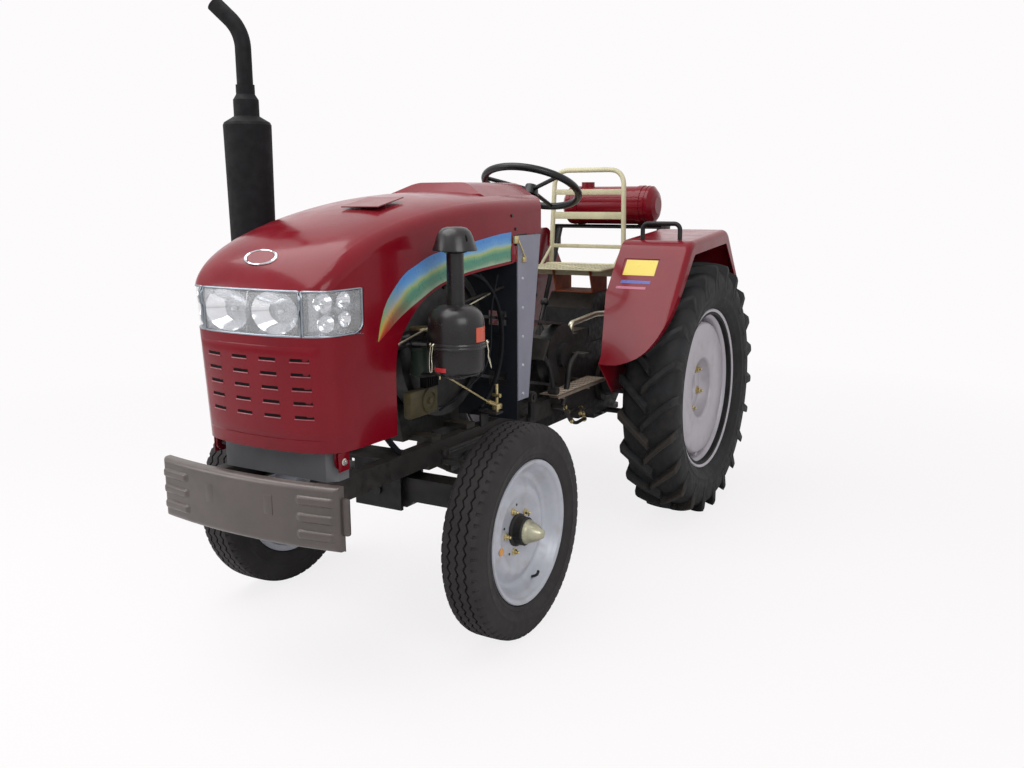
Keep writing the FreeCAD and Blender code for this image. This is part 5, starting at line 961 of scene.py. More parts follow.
def row_tree():
    """Geometry Nodes: copies of the incoming mesh in a straight row."""
    tree, given = open_tree("repeat_in_a_row", ["Start", "Step"])
    seats = add(tree, "GeometryNodeMeshLine", {"Count": given["Count"], "Start Location": given["Start"],
                                               "Offset": given["Step"]})
    copies = add(tree, "GeometryNodeInstanceOnPoints", {"Points": seats.outputs[0],
                                                        "Instance": given["Geometry"]})
    return close_tree(tree, copies, given)


ROW = row_tree()


def row_mesh(mesh, count, start, step, material):
    """A row of copies of a mesh, the first at the start."""
    return grown(mesh, ROW, {"Count": count, "Start": tuple(start), "Step": tuple(step), "Finish": material})


def node_skin(name):
    """A tree for casting rays at one CAD node, in the shared frame."""
    node = NODES[name]
    points = [node.matrix_world @ vertex.co for vertex in node.data.vertices]
    return BVHTree.FromPolygons(points, [tuple(face.vertices) for face in node.data.polygons])


def hit(skin, start, toward):
    """Where a ray first meets a skin, and the normal there."""
    return skin.ray_cast(Vector(start), Vector(toward))[:2]


def side_hit(skin, sign, along, level):
    """Where a level ray from well outside the tractor's side meets a skin."""
    return hit(skin, (CLEAR_OF_SIDE * sign, along, level), (-sign, 0, 0))[0]


print("tree", ROW.name, "nodes", len(ROW.nodes))

# %% [markdown]
# ## Pressed steel wheels
# A tractor's disc wheel is two pressings: a rolled rim whose steps hold the tyre's bead,
# and a dished disc welded inside it. Both are round, so one outline turned about the axle
# makes each wheel. The hub, its cap and the wheel bolts are separate parts in zinc and
# black, and Geometry Nodes set the bolts round the axle.

# %% Rims, discs and hubs
def hex_bolt(width, height, washer):
    """A hexagon head on a round washer that faces +X, its middle at the origin."""
    flat = width / 2
    head = turned_mesh([(-0.003, 0), (-0.003, flat), (height * 0.8, flat), (height, flat * 0.8),
                        (height, 0)], 6, axis=X_AXIS)
    ring = turned_mesh([(-0.003, 0), (-0.003, washer), (height * 0.2, washer),
                        (height * 0.24, washer * 0.93), (height * 0.24, 0)], 20, axis=X_AXIS)
    stud = turned_mesh([(0, 0), (0, flat * 0.55), (height * 1.5, flat * 0.55),
                        (height * 1.62, flat * 0.4), (height * 1.62, 0)], 12, axis=X_AXIS)
    return joined_mesh([head, ring, stud])


def bolt_circle(count, radius, along, centre, sign, size, turn=0.0):
    """Bolts round an axle: how many, their circle, and where their seat is along it."""
    bolt = on_side(hex_bolt(*size), sign)
    bolt.transform(Matrix.Translation((along * sign, 0, radius)))
    bolt.transform(Matrix.Rotation(turn, 4, "X"))
    return round_axle(bolt, count, centre, YELLOW_ZINC)


def wheel_centre(tyre):
    """The middle of a tyre's box."""
    low, high = box_of(tyre)
    return (low + high) / 2


FRONT_WHEEL = mm(-78, 0, -78, 40, -30, 48, -2, 56, -1, 88, 3, 98, 11, 112, 14, 124, 11, 136, 1, 150,
                 -5, 160, -6, 168, -10, 178, -24, 184, -38, 189, -43, 197, -50, 200, -52, 212,
                 -54, 217, -50, 219, -46, 213, -44, 204, -36, 194, -6, 187, 12, 189, 36, 194, 44, 204,
                 46, 213, 50, 219, 54, 217, 55, 212, 52, 205, 46, 201, 41, 199, 37, 191, 26, 188,
                 20, 182, 10, 179, 4, 172, 1, 166, 4, 158, 10, 148, 20, 134, 22, 124, 19, 112, 10, 98,
                 6, 88, 6, 46, 6, 0)
FRONT_HUB = mm(0, 0, 0, 50, 12, 50, 16, 44, 40, 43, 43, 40, 43, 0)
HUB_CAP = mm(36, 0, 36, 37, 48, 37, 52, 33, 60, 31, 76, 25, 88, 17, 96, 12, 98, 6, 99, 0)
REAR_WHEEL = mm(-70, 0, -70, 130, -20, 132, 30, 135, 46, 150, 46, 262, 40, 266, -12, 268, -20, 286,
                -48, 292, -52, 305, -70, 312, -78, 325, -76, 331, -72, 328, -66, 318, -48, 312,
                -44, 300, 44, 300, 48, 312, 66, 318, 72, 328, 76, 331, 80, 328, 79, 321, 70, 314,
                56, 309, 52, 299, 40, 294, -6, 290, -8, 278, 40, 274, 50, 270, 53, 262, 53, 132,
                49, 124, 40, 121, 2, 119, -2, 114, -2, 80, -6, 75, -46, 74, -46, 0)
REAR_HUB = mm(-46, 0, -46, 66, -30, 64, -26, 58, -26, 30, -18, 26, -18, 0)


def axle_mesh(outline, sign, centre, steps):
    """An outline turned about an axle, facing out on either side of the tractor."""
    return turned_mesh([(along * sign, radius) for along, radius in outline], steps, centre, X_AXIS)


for side, sign in SIDES:
    centre = wheel_centre(f"front_tyre_{side}")
    body = f"front_wheel_{side}"
    wheel = axle_mesh(FRONT_WHEEL, sign, centre, 128)
    wheel = make_piece(f"front_disc_{side}", wheel, WHEEL, body, 50, [f"front_rim_{side}"])
    hub = axle_mesh(FRONT_HUB, sign, centre, 48)
    make_piece(f"front_hub_{side}", hub, CHASSIS, body)
    cap = axle_mesh(HUB_CAP, sign, centre, 40)
    make_piece(f"hub_cap_{side}", cap, CAP_ZINC, body, 50)
    bolts = bolt_circle(5, 0.066, 0.007, centre, sign, (0.015, 0.011, 0.011), 0.35)
    make_piece(f"front_bolts_{side}", bolts, YELLOW_ZINC, body)
    # Five thin black discs in the wheel disc's holes: painted shade where one sees through them.
    holes = turned_mesh([(0.0, 0), (0.0, 0.0042), (0.0008, 0.0038), (0.0008, 0)], 16, axis=X_AXIS)
    holes.transform(Matrix.Translation((0.0062 * sign, 0, 0.078)))
    holes = round_axle(holes, 5, centre, GRIP_AND_HOLE_SHADE)
    make_piece(f"disc_holes_{side}", holes, GRIP_AND_HOLE_SHADE, body)
    dot = turned_mesh(mm(-1, 0, -1, 12.5, 0.8, 12, 0.8, 0), 32,
                      centre + Vector((0.0222 * sign, -0.119, -0.030)), X_AXIS)
    make_piece(f"paper_dot_{side}", dot, FILMS["orange_paper_dot"], body)
    stem = rounded_path([Vector((0.024 * sign, 0.062, -0.168)), Vector((0.044 * sign, 0.058, -0.158)),
                         Vector((0.054 * sign, 0.047, -0.140))], 0.012)
    valve = swept_mesh([centre + point for point in stem], 0.0045, 12)
    make_piece(f"valve_stem_{side}", valve, GRIP_AND_HOLE_SHADE, body)
    print(wheel.name, len(wheel.data.polygons))

# %% Rear wheels
for side, sign in SIDES:
    centre = wheel_centre(f"rear_tyre_{side}")
    body = f"rear_wheel_{side}"
    wheel = axle_mesh(REAR_WHEEL, sign, centre, 144)
    wheel = make_piece(f"rear_disc_{side}", wheel, REAR_WHEEL_PAINT, body, 50,
                       [f"rear_rim_{side}"])
    bolts = bolt_circle(6, 0.097, -0.002, centre, sign, (0.022, 0.016, 0.017), 0.2)
    make_piece(f"rear_bolts_{side}", bolts, YELLOW_ZINC, body)
    flange = axle_mesh(REAR_HUB, sign, centre, 48)
    make_piece(f"rear_hub_{side}", flange, CHASSIS, body)
    struts = block_mesh((-0.004, -0.016, 0.262), (0.036, 0.016, 0.2925), 0.003)
    struts = round_axle(on_side(struts, sign), 6, centre, REAR_WHEEL_PAINT)
    make_piece(f"disc_lugs_{side}", struts, REAR_WHEEL_PAINT, body)
    print(wheel.name, len(wheel.data.polygons))

# %% [markdown]
# ## Headlamps behind one curved band
# The band round the nose is three lamps: a wide one in the middle with a pair of deep
# reflectors, and one at each corner that wraps round to the side with four small ones.
# Each lamp is a clear cover, a bright frame along its edge, and a silvered bowl behind.
# Points on the band come from rays cast at the CAD lens toward an upright line inside it.

# %% Where the lamps are
LAMP_SKIN = node_skin("headlamps")
LAMP_LOW, LAMP_TOP = (corner.z for corner in box_of("headlamps"))
# Kept inside the opening that the hood leaves for the lamps.
LAMP_LOW, LAMP_TOP = max(LAMP_LOW, 0.9605), min(LAMP_TOP, 1.0795)
LAMP_HEART = Vector((0, -1.16, 0))
CORNER_END, LAMP_SPLIT = -4.3, 39.0
BAND_ROWS, BAND_RADIUS = 14, 0.245


def on_band(degrees, level, depth=0.0):
    """A point on the lamps' outer surface and its normal, at an angle round the nose."""
    angle = math.radians(degrees)
    out = Vector((math.cos(angle), -math.sin(angle), 0))
    start = LAMP_HEART + out * 0.5 + Vector((0, 0, level))
    place = hit(LAMP_SKIN, start, -out)[0]
    if place is None:
        place = LAMP_HEART + out * BAND_RADIUS + Vector((0, 0, level))
    return place - out * depth, out


def band_patch(first, last, steps, depth, margin=0.0, soft=0.0):
    """A grid on the band between two angles; a soft last corner rounds its lower end."""
    grid = []
    for row in range(BAND_ROWS + 1):
        level = LAMP_LOW + margin + (LAMP_TOP - LAMP_LOW - 2 * margin) * row / BAND_ROWS
        rise = level - LAMP_LOW - margin
        back = 0.0
        if soft and rise < soft:
            back = soft - math.sqrt(soft ** 2 - (soft - rise) ** 2)
        end = last + math.copysign(math.degrees(back / 0.25), first - last)
        line = []
        for step in range(steps + 1):
            line.append(on_band(first + (end - first) * step / steps, level, depth))
        grid.append(line)
    return grid


MIDDLE = (LAMP_SPLIT + 0.4, 180 - LAMP_SPLIT - 0.4)
CORNERS = ((LAMP_SPLIT - 0.9, CORNER_END + 0.6), (180 - LAMP_SPLIT + 0.9, 180 - CORNER_END - 0.6))
SOFT_END = 0.03


def lamp_patches(steps, depth, corner_depth, margin=0.0):
    """The grids of the middle lamp and of both corner lamps, at their depths in the band."""
    corners = [band_patch(*ends, steps, corner_depth, margin, SOFT_END) for ends in CORNERS]
    return [band_patch(*MIDDLE, 2 * steps, depth, margin), *corners]


covers = [slab_mesh(grid, 0.003) for grid in lamp_patches(24, 0.0005, 0.0005)]
lens = make_piece("lamp_covers", joined_mesh(covers), LENS, "hood", stands_for=["headlamps"])
print(lens.name, len(lens.data.polygons))


# %% Lamp frames
def patch_rim(grid):
    """The border of a grid as a closed line of points, a little proud."""
    return [place + normal * 0.0006 for place, normal in border(grid)]


frames = [swept_mesh(patch_rim(grid), 0.0034, 8, closed=True)
          for grid in lamp_patches(24, 0.001, 0.001, 0.002)]
frame_piece = make_piece("lamp_frames", joined_mesh(frames), FRAME_GREY, "hood", sharp=60)
seams = []
for degrees in (LAMP_SPLIT - 0.25, 180 - LAMP_SPLIT + 0.25):
    line = [on_band(degrees, LAMP_LOW + (LAMP_TOP - LAMP_LOW) * row / BAND_ROWS, 0.0045)[0]
            for row in range(BAND_ROWS + 1)]
    seams.append(swept_mesh(line, 0.0042, 8))
make_piece("lamp_seams", joined_mesh(seams), GRIP_AND_HOLE_SHADE, "hood")
print("frames", len(frame_piece.data.polygons))


# %% Reflectors and bulbs
def bowl_mesh(radius, depth, steps=40):
    """A silvered bowl that opens toward +Z, with a rolled edge and a closed back."""
    inside = [(-depth * (1 - share * share), radius * share) for share in (i / 9 for i in range(10))]
    outside = [(0.0015, radius + 0.001), (-0.001, radius + 0.002)]
    outside += [(-depth * (1 - share * share) - 0.0015, (radius + 0.002) * share) for share in (0.8, 0.5, 0)]
    return turned_mesh(inside + outside, steps)


def bulb_mesh(radius):
    """A small capsule of a bulb on the bowl's axis."""
    outline = [(-0.030, 0), (-0.030, radius), (-0.012, radius), (-0.004, radius * 0.8), (0, 0)]
    return turned_mesh(outline, 16)


mirrors, bulbs = [], []
middle_level = (LAMP_LOW + LAMP_TOP) / 2
for across in (-0.083, 0.083):
    place = Vector((across, -1.296, middle_level))
    mirrors.append(placed(bowl_mesh(0.057, 0.045), place, (0, -1, 0), (1.38, 0.98, 1)))
    bulbs.append(placed(bulb_mesh(0.006), place + Vector((0, 0.012, 0)), (0, -1, 0)))
for first, last in CORNERS:
    for share, rise, radius in ((0.30, 0.028, 0.024), (0.34, -0.026, 0.022), (0.66, 0.030, 0.022),
                                (0.68, -0.018, 0.020)):
        place, normal = on_band(first + (last - first) * share, middle_level + rise, 0.012)
        mirrors.append(placed(bowl_mesh(radius, radius * 0.9, 28), place, normal))
        bulbs.append(placed(bulb_mesh(0.0035), place - normal * 0.006, normal))
make_piece("lamp_reflectors", joined_mesh(mirrors), SILVERED, "hood", sharp=50)
make_piece("lamp_bulbs", joined_mesh(bulbs), BULB, "hood")


WALL_DEPTHS = (0.004, 0.02, 0.05)
WALL_END = CORNER_END + 1.5


def wall_line(degrees, level, facing):
    """A line of (point, normal) that runs back into the band, for a wall between lamps."""
    return [(on_band(degrees, level, deep)[0], Vector(facing)) for deep in WALL_DEPTHS]


backs = [slab_mesh(grid, 0.002) for grid in lamp_patches(16, 0.055, 0.034)]
walls = [slab_mesh([wall_line(degrees, level, (1, 0, 0))
                    for level in (LAMP_LOW + 0.002, middle_level, LAMP_TOP - 0.002)], 0.002)
         for degrees in (90.3, LAMP_SPLIT, 180 - LAMP_SPLIT, WALL_END, 180 - WALL_END)]
for level in (LAMP_LOW + 0.001, LAMP_TOP - 0.001):
    walls.append(slab_mesh([wall_line(WALL_END + (180 - 2 * WALL_END) * step / 80, level, (0, 0, 1))
                            for step in range(81)], 0.002))
make_piece("lamp_housings", joined_mesh(backs + walls), SILVERED_DULL, "hood")
print("reflectors", len(mirrors), "bulbs", len(bulbs))

# %% [markdown]
# ## Badge, printed band and hood hardware
# The nose carries a plain oval badge: a chromed ring round a red disc. A printed film runs
# along the edge of the side arch; it fades from sky blue through green and yellow to red,
# and takes its colours from a chart laid along and across it. The lid has two small screws
# near its rear edge and a zinc draw latch to the pillar on each side.

# %% Badge
HOOD_SKIN = node_skin("hood_shell")
place, normal = hit(HOOD_SKIN, (0, -1.60, 1.55), Vector((0, 0.351, -0.394)).normalized())
print("badge at", tuple(round(c, 3) for c in place), "facing", tuple(round(c, 2) for c in normal))
if normal.z < 0:
    normal = -normal
ring = turned_mesh(mm(0, 23, 0, 28, 3, 27.5, 4.5, 25.5, 3, 23.5), 48, closed=True)
disc = turned_mesh(mm(0, 0, 0, 23.5, 2.2, 22.5, 2.2, 0), 40)
OVAL = (2.0, 1.0, 1.0)
make_piece("badge_ring", placed(ring, place, normal, OVAL), CHROME, "hood")
make_piece("badge_disc", placed(disc, place, normal, OVAL), MAROON, "hood")

# %% Printed band along the arch
BAND_LOW = mm(-1082, 926, -1043, 948, -1000, 974, -945, 1000, -881, 1026, -792, 1059, -669, 1082,
              -550, 1093, -398, 1103)
BAND_TOP = mm(-1084, 930, -1069, 980, -1043, 1028, -1001, 1069, -955, 1102, -905, 1121, -819, 1148,
              -642, 1171, -480, 1190, -398, 1195)


def smooth_line(points, count):
    """A Catmull-Rom line through (y, z) points, at equal shares of its length in steps."""
    dense = []
    padded = [points[0]] + points + [points[-1]]
    for a, b, c, d in zip(padded, padded[1:], padded[2:], padded[3:]):
        for step in range(12):
            t = step / 12
            pair = []
            for p, q, r, s in zip(a, b, c, d):
                pair.append(0.5 * (2 * q + (r - p) * t + (2 * p - 5 * q + 4 * r - s) * t * t
                                   + (3 * q - p - 3 * r + s) * t ** 3))
            dense.append(pair)
    dense.append(points[-1])
    run = [0.0]
    for a, b in zip(dense, dense[1:]):
        run.append(run[-1] + math.dist(a, b))
    line = []
    for step in range(count + 1):
        want, index = run[-1] * step / count, 1
        while index < len(run) - 1 and run[index] < want:
            index += 1
        share = (want - run[index - 1]) / (run[index] - run[index - 1])
        line.append([a + (b - a) * share for a, b in zip(dense[index - 1], dense[index])])
    return line


def band_mesh(sign):
    """The printed band on one side, 0.4 mm proud of the hood's side."""
    grid = []
    for low, high in zip(smooth_line(BAND_LOW, 60), smooth_line(BAND_TOP, 60)):
        line = []
        for step in range(9):
            share = step / 8
            along, level = (a + (b - a) * share for a, b in zip(low, high))
            place = side_hit(HOOD_SKIN, sign, along, level)
            out = Vector((sign, 0, 0))
            line.append((place + out * 0.0009, out))
        grid.append(line)
    mesh = slab_mesh(grid, 0.0006)
    chart = mesh.uv_layers.new(name="chart")
    for loop in mesh.loops:
        row, column = divmod(loop.vertex_index % (len(grid) * 9), 9)
        chart.data[loop.index].uv = (row / (len(grid) - 1), column / 8)
    return mesh


for side, sign in SIDES:
    film = make_piece(f"printed_band_{side}", band_mesh(sign), BAND_FILM, "hood")
print("band film faces", len(film.data.polygons))

# %% Screws and draw latches
hardware, tabs, screws = [], [], []
for sign in (1, -1):
    for along, level in ((-0.394, 1.247), (-0.370, 1.204)):
        place = side_hit(HOOD_SKIN, sign, along, level)
        screws.append(placed(bolt_mesh(0.010, 0.004, 1.2), place, (sign, 0, 0)))
    edge = side_hit(HOOD_SKIN, sign, -0.392, 1.150).x * sign
    tabs.append(side_block(sign, (edge, -0.400, 1.098), (edge + 0.004, -0.366, 1.150)))
    hardware.append(side_block(sign, (edge + 0.001, -0.392, 1.158), (edge + 0.012, -0.368, 1.182)))
    hook = [Vector(((edge + 0.009) * sign, -0.372, 1.176)), Vector(((edge + 0.012) * sign, -0.348, 1.140)),
            Vector(((edge + 0.010) * sign, -0.322, 1.108))]
    hardware.append(swept_mesh(rounded_path(hook, 0.01), 0.0026, 10))
    hardware.append(side_block(sign, (edge - 0.001, -0.334, 1.094), (edge + 0.010, -0.314, 1.112)))
make_piece("latch_tabs", joined_mesh(tabs), MAROON, "hood")
make_piece("draw_latches", joined_mesh(hardware), YELLOW_ZINC, "hood")
make_piece("hood_screws", joined_mesh(screws), GRIP_AND_HOLE_SHADE, "hood")
print("hood hardware", len(hardware))

# %% [markdown]
# ## Bumper
# The bumper is one thick pressing: a bowed face whose edges roll back all round, with three
# raised bars at each end that stiffen it. A grid over the face carries the whole shape.
# Near an edge the grid follows a quarter circle back into a short wall, and inside a bar's
# outline it stands six millimetres proud with soft shoulders.

# %% Bumper
FORWARD = (0, -1, 0)
BAR_LEVELS, BAR_MIDDLE, BAR_PROUD, BAR_SHOULDER = (-0.045, 0.0, 0.045), 0.252, 0.0065, 0.0085


def rolled_stations(half, roll, wall, inner):
    """Places along one axis: (place, how far back), from one wall over the face to the other."""
    side = [(half, roll + wall), (half, roll)]
    for step in range(1, 6):
        angle = math.pi / 2 * (1 - step / 5)
        side.append((half - roll + roll * math.sin(angle), roll - roll * math.cos(angle)))
    middle = [(share * (half - roll), 0.0) for share in inner]
    return [(-place, back) for place, back in side] + middle + list(reversed(side))


def bar_rise(across, up):
    """How proud the face stands at a place, for three bars at each end."""
    rise = 0.0
    for level in BAR_LEVELS:
        away_x = max(abs(abs(across) - BAR_MIDDLE) - 0.046, 0.0)
        away_z = max(abs(up - level) - 0.0035, 0.0)
        away = math.hypot(away_x, away_z)
        rise = max(rise, BAR_PROUD * max(0.0, 1 - (away / BAR_SHOULDER) ** 2) ** 0.5)
    return rise


def bumper_mesh():
    """The pressing, 3 mm thick, bowed forward at its middle."""
    low, high = box_of("bumper")
    half_x, half_z = 0.313, (high.z - low.z) / 2
    front, bow, middle = low.y + 0.0065, 0.030, (low.z + high.z) / 2
    columns = rolled_stations(half_x, 0.013, 0.016, [-1 + 2 * step / 120 for step in range(121)])
    rows = rolled_stations(half_z, 0.015, 0.014, [-1 + 2 * step / 56 for step in range(57)])
    points = []
    for up, fall in rows:
        for across, back in columns:
            depth = front + bow * (across / half_x) ** 2 + max(back, fall)
            if back == 0 and fall == 0:
                depth -= bar_rise(across, up)
            points.append((across, depth, middle + up))
    return sheet_of(new_mesh(points, grid_faces(len(rows), len(columns))), 0.003, FORWARD)


bumper = make_piece("bumper_pressing", bumper_mesh(), BUMPER, "chassis", 50, ["bumper"])
backing = []
for sign in (1, -1):
    backing.append(side_block(sign, (0.235, -1.335, 0.467), (0.329, -1.318, 0.566), 0.006))
    backing.append(side_block(sign, (0.08, -1.382, 0.505), (0.12, -1.305, 0.560), 0.002))
make_piece("bumper_stays", joined_mesh(backing), BUMPER, "chassis")
print("bumper", len(bumper.data.polygons))

# %% [markdown]
# ## Grille sheet
# The lower front of the hood is a separate sheet that is pressed to a shallow curve, bent
# round both corners and spot welded along its edges. Five rows of four slots are lanced in
# it; the metal below each slot is pushed in as a lip, coloured a paler red as a painted
# highlight, and a black pocket of painted shade sits behind each slot. The sheet is a grid
# with the slots left out, thickened, and laid on the CAD hood 1.6 mm proud.

# %% Grille sheet
SLOT_ROWS = [0.9005 - 0.038 * row for row in range(5)]
SLOT_COLUMNS = [-0.135, -0.033, 0.064, 0.160]
SLOT_HALF, SLOT_HIGH = 0.0265, 0.0048
SHEET_TOP, SHEET_LOW, SHEET_PROUD = 0.934, 0.700, 0.0016


def hood_front(across, level, proud):
    """A point on the hood's front, read above and below the slots and joined straight."""
    ends = [hit(HOOD_SKIN, (across, -1.6, height), (0, 1, 0))[0] for height in (SHEET_TOP, SHEET_LOW)]
    place = ends[0].lerp(ends[1], (SHEET_TOP - level) / (SHEET_TOP - SHEET_LOW))
    return Vector((across, place.y - proud, level))


def slot_ends(column, level):
    """Three places across a slot on the sheet: its two ends and its middle."""
    return [hood_front(column + side * (SLOT_HALF + 0.001), level, SHEET_PROUD) for side in (-1, 0, 1)]


def grille_mesh():
    """The slotted sheet, 1.2 mm thick."""
    breaks = [-0.205, 0.212]
    for column in SLOT_COLUMNS:
        breaks += [column - SLOT_HALF, column + SLOT_HALF, column]
    xs = sorted(set(breaks) | {-0.19, 0.19, 0.202, -0.198})
    zs = [0.936, 0.932]
    for row in SLOT_ROWS:
        zs += [row + SLOT_HIGH, row - SLOT_HIGH]
    zs += [0.712, 0.690, 0.686]
    work = bmesh.new()
    grid = []
    for z in zs:
        edge = z in (zs[0], zs[-1])
        line = []
        for x in xs:
            border = edge or x in (xs[0], xs[-1])
            line.append(work.verts.new(hood_front(x, z, 0.0002 if border else SHEET_PROUD)))
        grid.append(line)
    for r in range(len(zs) - 1):
        middle_z = (zs[r] + zs[r + 1]) / 2
        for c in range(len(xs) - 1):
            middle_x = (xs[c] + xs[c + 1]) / 2
            in_row = any(abs(middle_z - row) < SLOT_HIGH for row in SLOT_ROWS)
            in_column = any(abs(middle_x - column) < SLOT_HALF for column in SLOT_COLUMNS)
            if not (in_row and in_column):
                work.faces.new((grid[r][c], grid[r][c + 1], grid[r + 1][c + 1], grid[r + 1][c]))
    loose = [vertex for vertex in work.verts if not vertex.link_faces]
    bmesh.ops.delete(work, geom=loose, context="VERTS")
    bmesh.ops.recalc_face_normals(work, faces=work.faces)
    return sheet_of(worked(work), 0.0012, FORWARD)


make_piece("grille_sheet", grille_mesh(), MAROON, "hood", sharp=30)
lips, pockets = [], []
for column in SLOT_COLUMNS:
    ends = slot_ends(column, SLOT_ROWS[0])
    step = (slot_ends(column, SLOT_ROWS[-1])[1] - ends[1]) / (len(SLOT_ROWS) - 1)
    lowered = [end - Vector((0, 0.0002, SLOT_HIGH)) for end in ends]
    lip = swept_mesh(lowered, 0.0017, 8)
    lips.append(row_mesh(lip, 5, (0, 0, 0), step, MAROON))
    # Behind each slot, a closed black pocket of painted shade.
    points = [end + Vector((0, 0.0012, up)) for up in (SLOT_HIGH, -SLOT_HIGH) for end in ends]
    points += [point + Vector((0, 0.0012, 0)) for point in points]
    faces = [(0, 1, 4, 3), (1, 2, 5, 4), (6, 9, 10, 7), (7, 10, 11, 8), (0, 6, 7, 1), (1, 7, 8, 2),
             (3, 4, 10, 9), (4, 5, 11, 10), (0, 3, 9, 6), (2, 8, 11, 5)]
    pockets.append(row_mesh(new_mesh(points, faces), 5, (0, 0, 0), step, PAINTED_SHADE))
# The lips wear the paler red of a painted highlight.
make_piece("slot_lips", joined_mesh(lips), LIP_HIGHLIGHT, "hood")
make_piece("slot_pockets", joined_mesh(pockets), PAINTED_SHADE, "hood")
print("slots", len(SLOT_ROWS) * len(SLOT_COLUMNS))

# %% Ear tabs and bolts of the hood's front hinge
tabs, bolts = [], []
for sign in (1, -1):
    tabs.append(side_block(sign, (0.2245, -1.240, 0.598), (0.2285, -1.196, 0.650), 0.0012))
    bolts.append(placed(bolt_mesh(0.013, 0.008, 1.5), Vector((0.2285 * sign, -1.219, 0.623)), (sign, 0, 0)))
make_piece("hinge_tabs", joined_mesh(tabs), MAROON, "hood")
make_piece("hinge_bolts", joined_mesh(bolts), ZINC, "hood")
print("hinge tabs", len(tabs))

# %% [markdown]
# ## Oil-bath air cleaner
# The cleaner is spun sheet: a bowl, an upper shell pulled in at the shoulder, a stack tube
# and a mushroom cap. All of it is round, so one outline makes it. Wire clips hold the bowl
# at a rolled double seam, and two plain stickers are wrapped on the shell. The intake pipe
# leaves its inner side and ends on the engine's port, which is read from the CAD mesh.

# %% Air cleaner
CLEANER_AT = Vector((0.3665, -0.8792, 0.0))
SEAM = 0.902
# Heights and radii in mm, from the foot of the bowl to the top of the cap.
CLEANER_OUTLINE = mm(806, 0, 806, 27, 813, 29, 814, 50, 819, 66, 828, 75.5, 840, 79, 893, 79,
                     894, 83.5, 898, 85, 901, 83, 904, 83, 907, 85, 911, 83.5, 912, 80.5, 962, 80.8,
                     978, 78, 992, 71.5, 1003, 61, 1010, 49, 1013, 36, 1014, 25, 1156, 24, 1168, 56,
                     1163, 60, 1164, 62.2, 1169, 61.5, 1184, 56, 1202, 51, 1216, 44, 1225, 34,
                     1228.5, 22, 1229, 0)
port_mesh = NODES["air_cleaner_with_pipe"].data
port_low = min(vertex.co.x for vertex in port_mesh.vertices)
port_ring = [vertex.co for vertex in port_mesh.vertices if vertex.co.x < port_low + 0.002]
port = sum((Vector(point) for point in port_ring), Vector()) / len(port_ring)
inlet = Vector((CLEANER_AT.x - 0.076, CLEANER_AT.y, 0.909))
knee = (port.x + inlet.x) / 2
route = rounded_path([port, Vector((knee, port.y, port.z)), Vector((knee, inlet.y, inlet.z)), inlet], 0.03)
cleaner = joined_mesh([turned_mesh(CLEANER_OUTLINE, 72, CLEANER_AT), swept_mesh(route, 0.0235, 28)])
cleaner = make_piece("air_cleaner", cleaner, CLEANER, "chassis", 40,
                     ["air_cleaner_with_pipe"])


def on_cleaner(degrees, radius, level):
    """A point round the cleaner, 0 degrees facing the front left, and its outward direction."""
    angle = math.radians(-57 + degrees)
    out = Vector((math.cos(angle), math.sin(angle), 0))
    return CLEANER_AT + out * radius + Vector((0, 0, level)), out


def wrapped_sheet(first, last, low, high, radius):
    """A sticker wrapped on the cleaner's shell."""
    def point_at(degrees, level):
        return on_cleaner(degrees, radius, level)
    return slab_mesh(patch(point_at, (first, last), (low, high), 10, 2), 0.0005)


make_piece("shell_sticker", wrapped_sheet(43, 80, 0.914, 0.955, 0.0813), FILMS["orange_red_sticker"],
           "chassis")
make_piece("bowl_tag", wrapped_sheet(-50, -22, 0.833, 0.845, 0.0797), FILMS["red_tag_film"], "chassis")
# The wire loop and the hook that holds it, in mm: along the seam, outward and up from it.
CLIP_LOOP = [(-5, 2, 7), (-4, 7, -18), (-8, 6, -34), (0, 12, -58), (6, 14, -70), (12, 13, -66), (8, 9, -42),
             (2, 6, -34), (5, 7, -18), (5, 2, 7)]
CLIP_HOOK = [(-7, 1, 10), (-7, 6, 5), (7, 6, 5), (7, 1, 10)]
clips = []
for degrees in (-52, 84, 200):
    corner, out = on_cleaner(degrees, 0.0835, SEAM)
    side = Vector((-out.y, out.x, 0))
    for steps, bend, radius in ((CLIP_LOOP, 0.004, 0.0013), (CLIP_HOOK, 0.003, 0.0022)):
        wire = [corner + side * (a * MM) + out * (b * MM) + Vector((0, 0, c * MM)) for a, b, c in steps]
        clips.append(swept_mesh(rounded_path(wire, bend, 4), radius, 8))
make_piece("bowl_clips", joined_mesh(clips), ROD_ZINC, "chassis")
# The slit in the cap is a dark disc squashed thin: painted shade in the opening.
mark, out = on_cleaner(38, 0.0515, 1.199)
slit = placed(turned_mesh(mm(-2, 0, -2, 8, 1.6, 7.6, 1.6, 0), 20), mark,
              (out + Vector((0, 0, 0.45))).normalized(), (0.30, 1.2, 1))
make_piece("cap_slit", slit, PAINTED_SHADE, "chassis")
print("air cleaner", len(cleaner.data.polygons), "port", tuple(round(c, 3) for c in port))

# %% [markdown]
# ## Engine bay and dash
# An open tractor shows its controls: a bright rod for the throttle, a brass-coloured rod
# with a fork at its end for the clutch, bent black pipes, the tube guard round the
# flywheel, and an olive side cover with a round boss. Bars along a line make the rods, and
# rows of equal ribs and bolts are copied by the nodes.

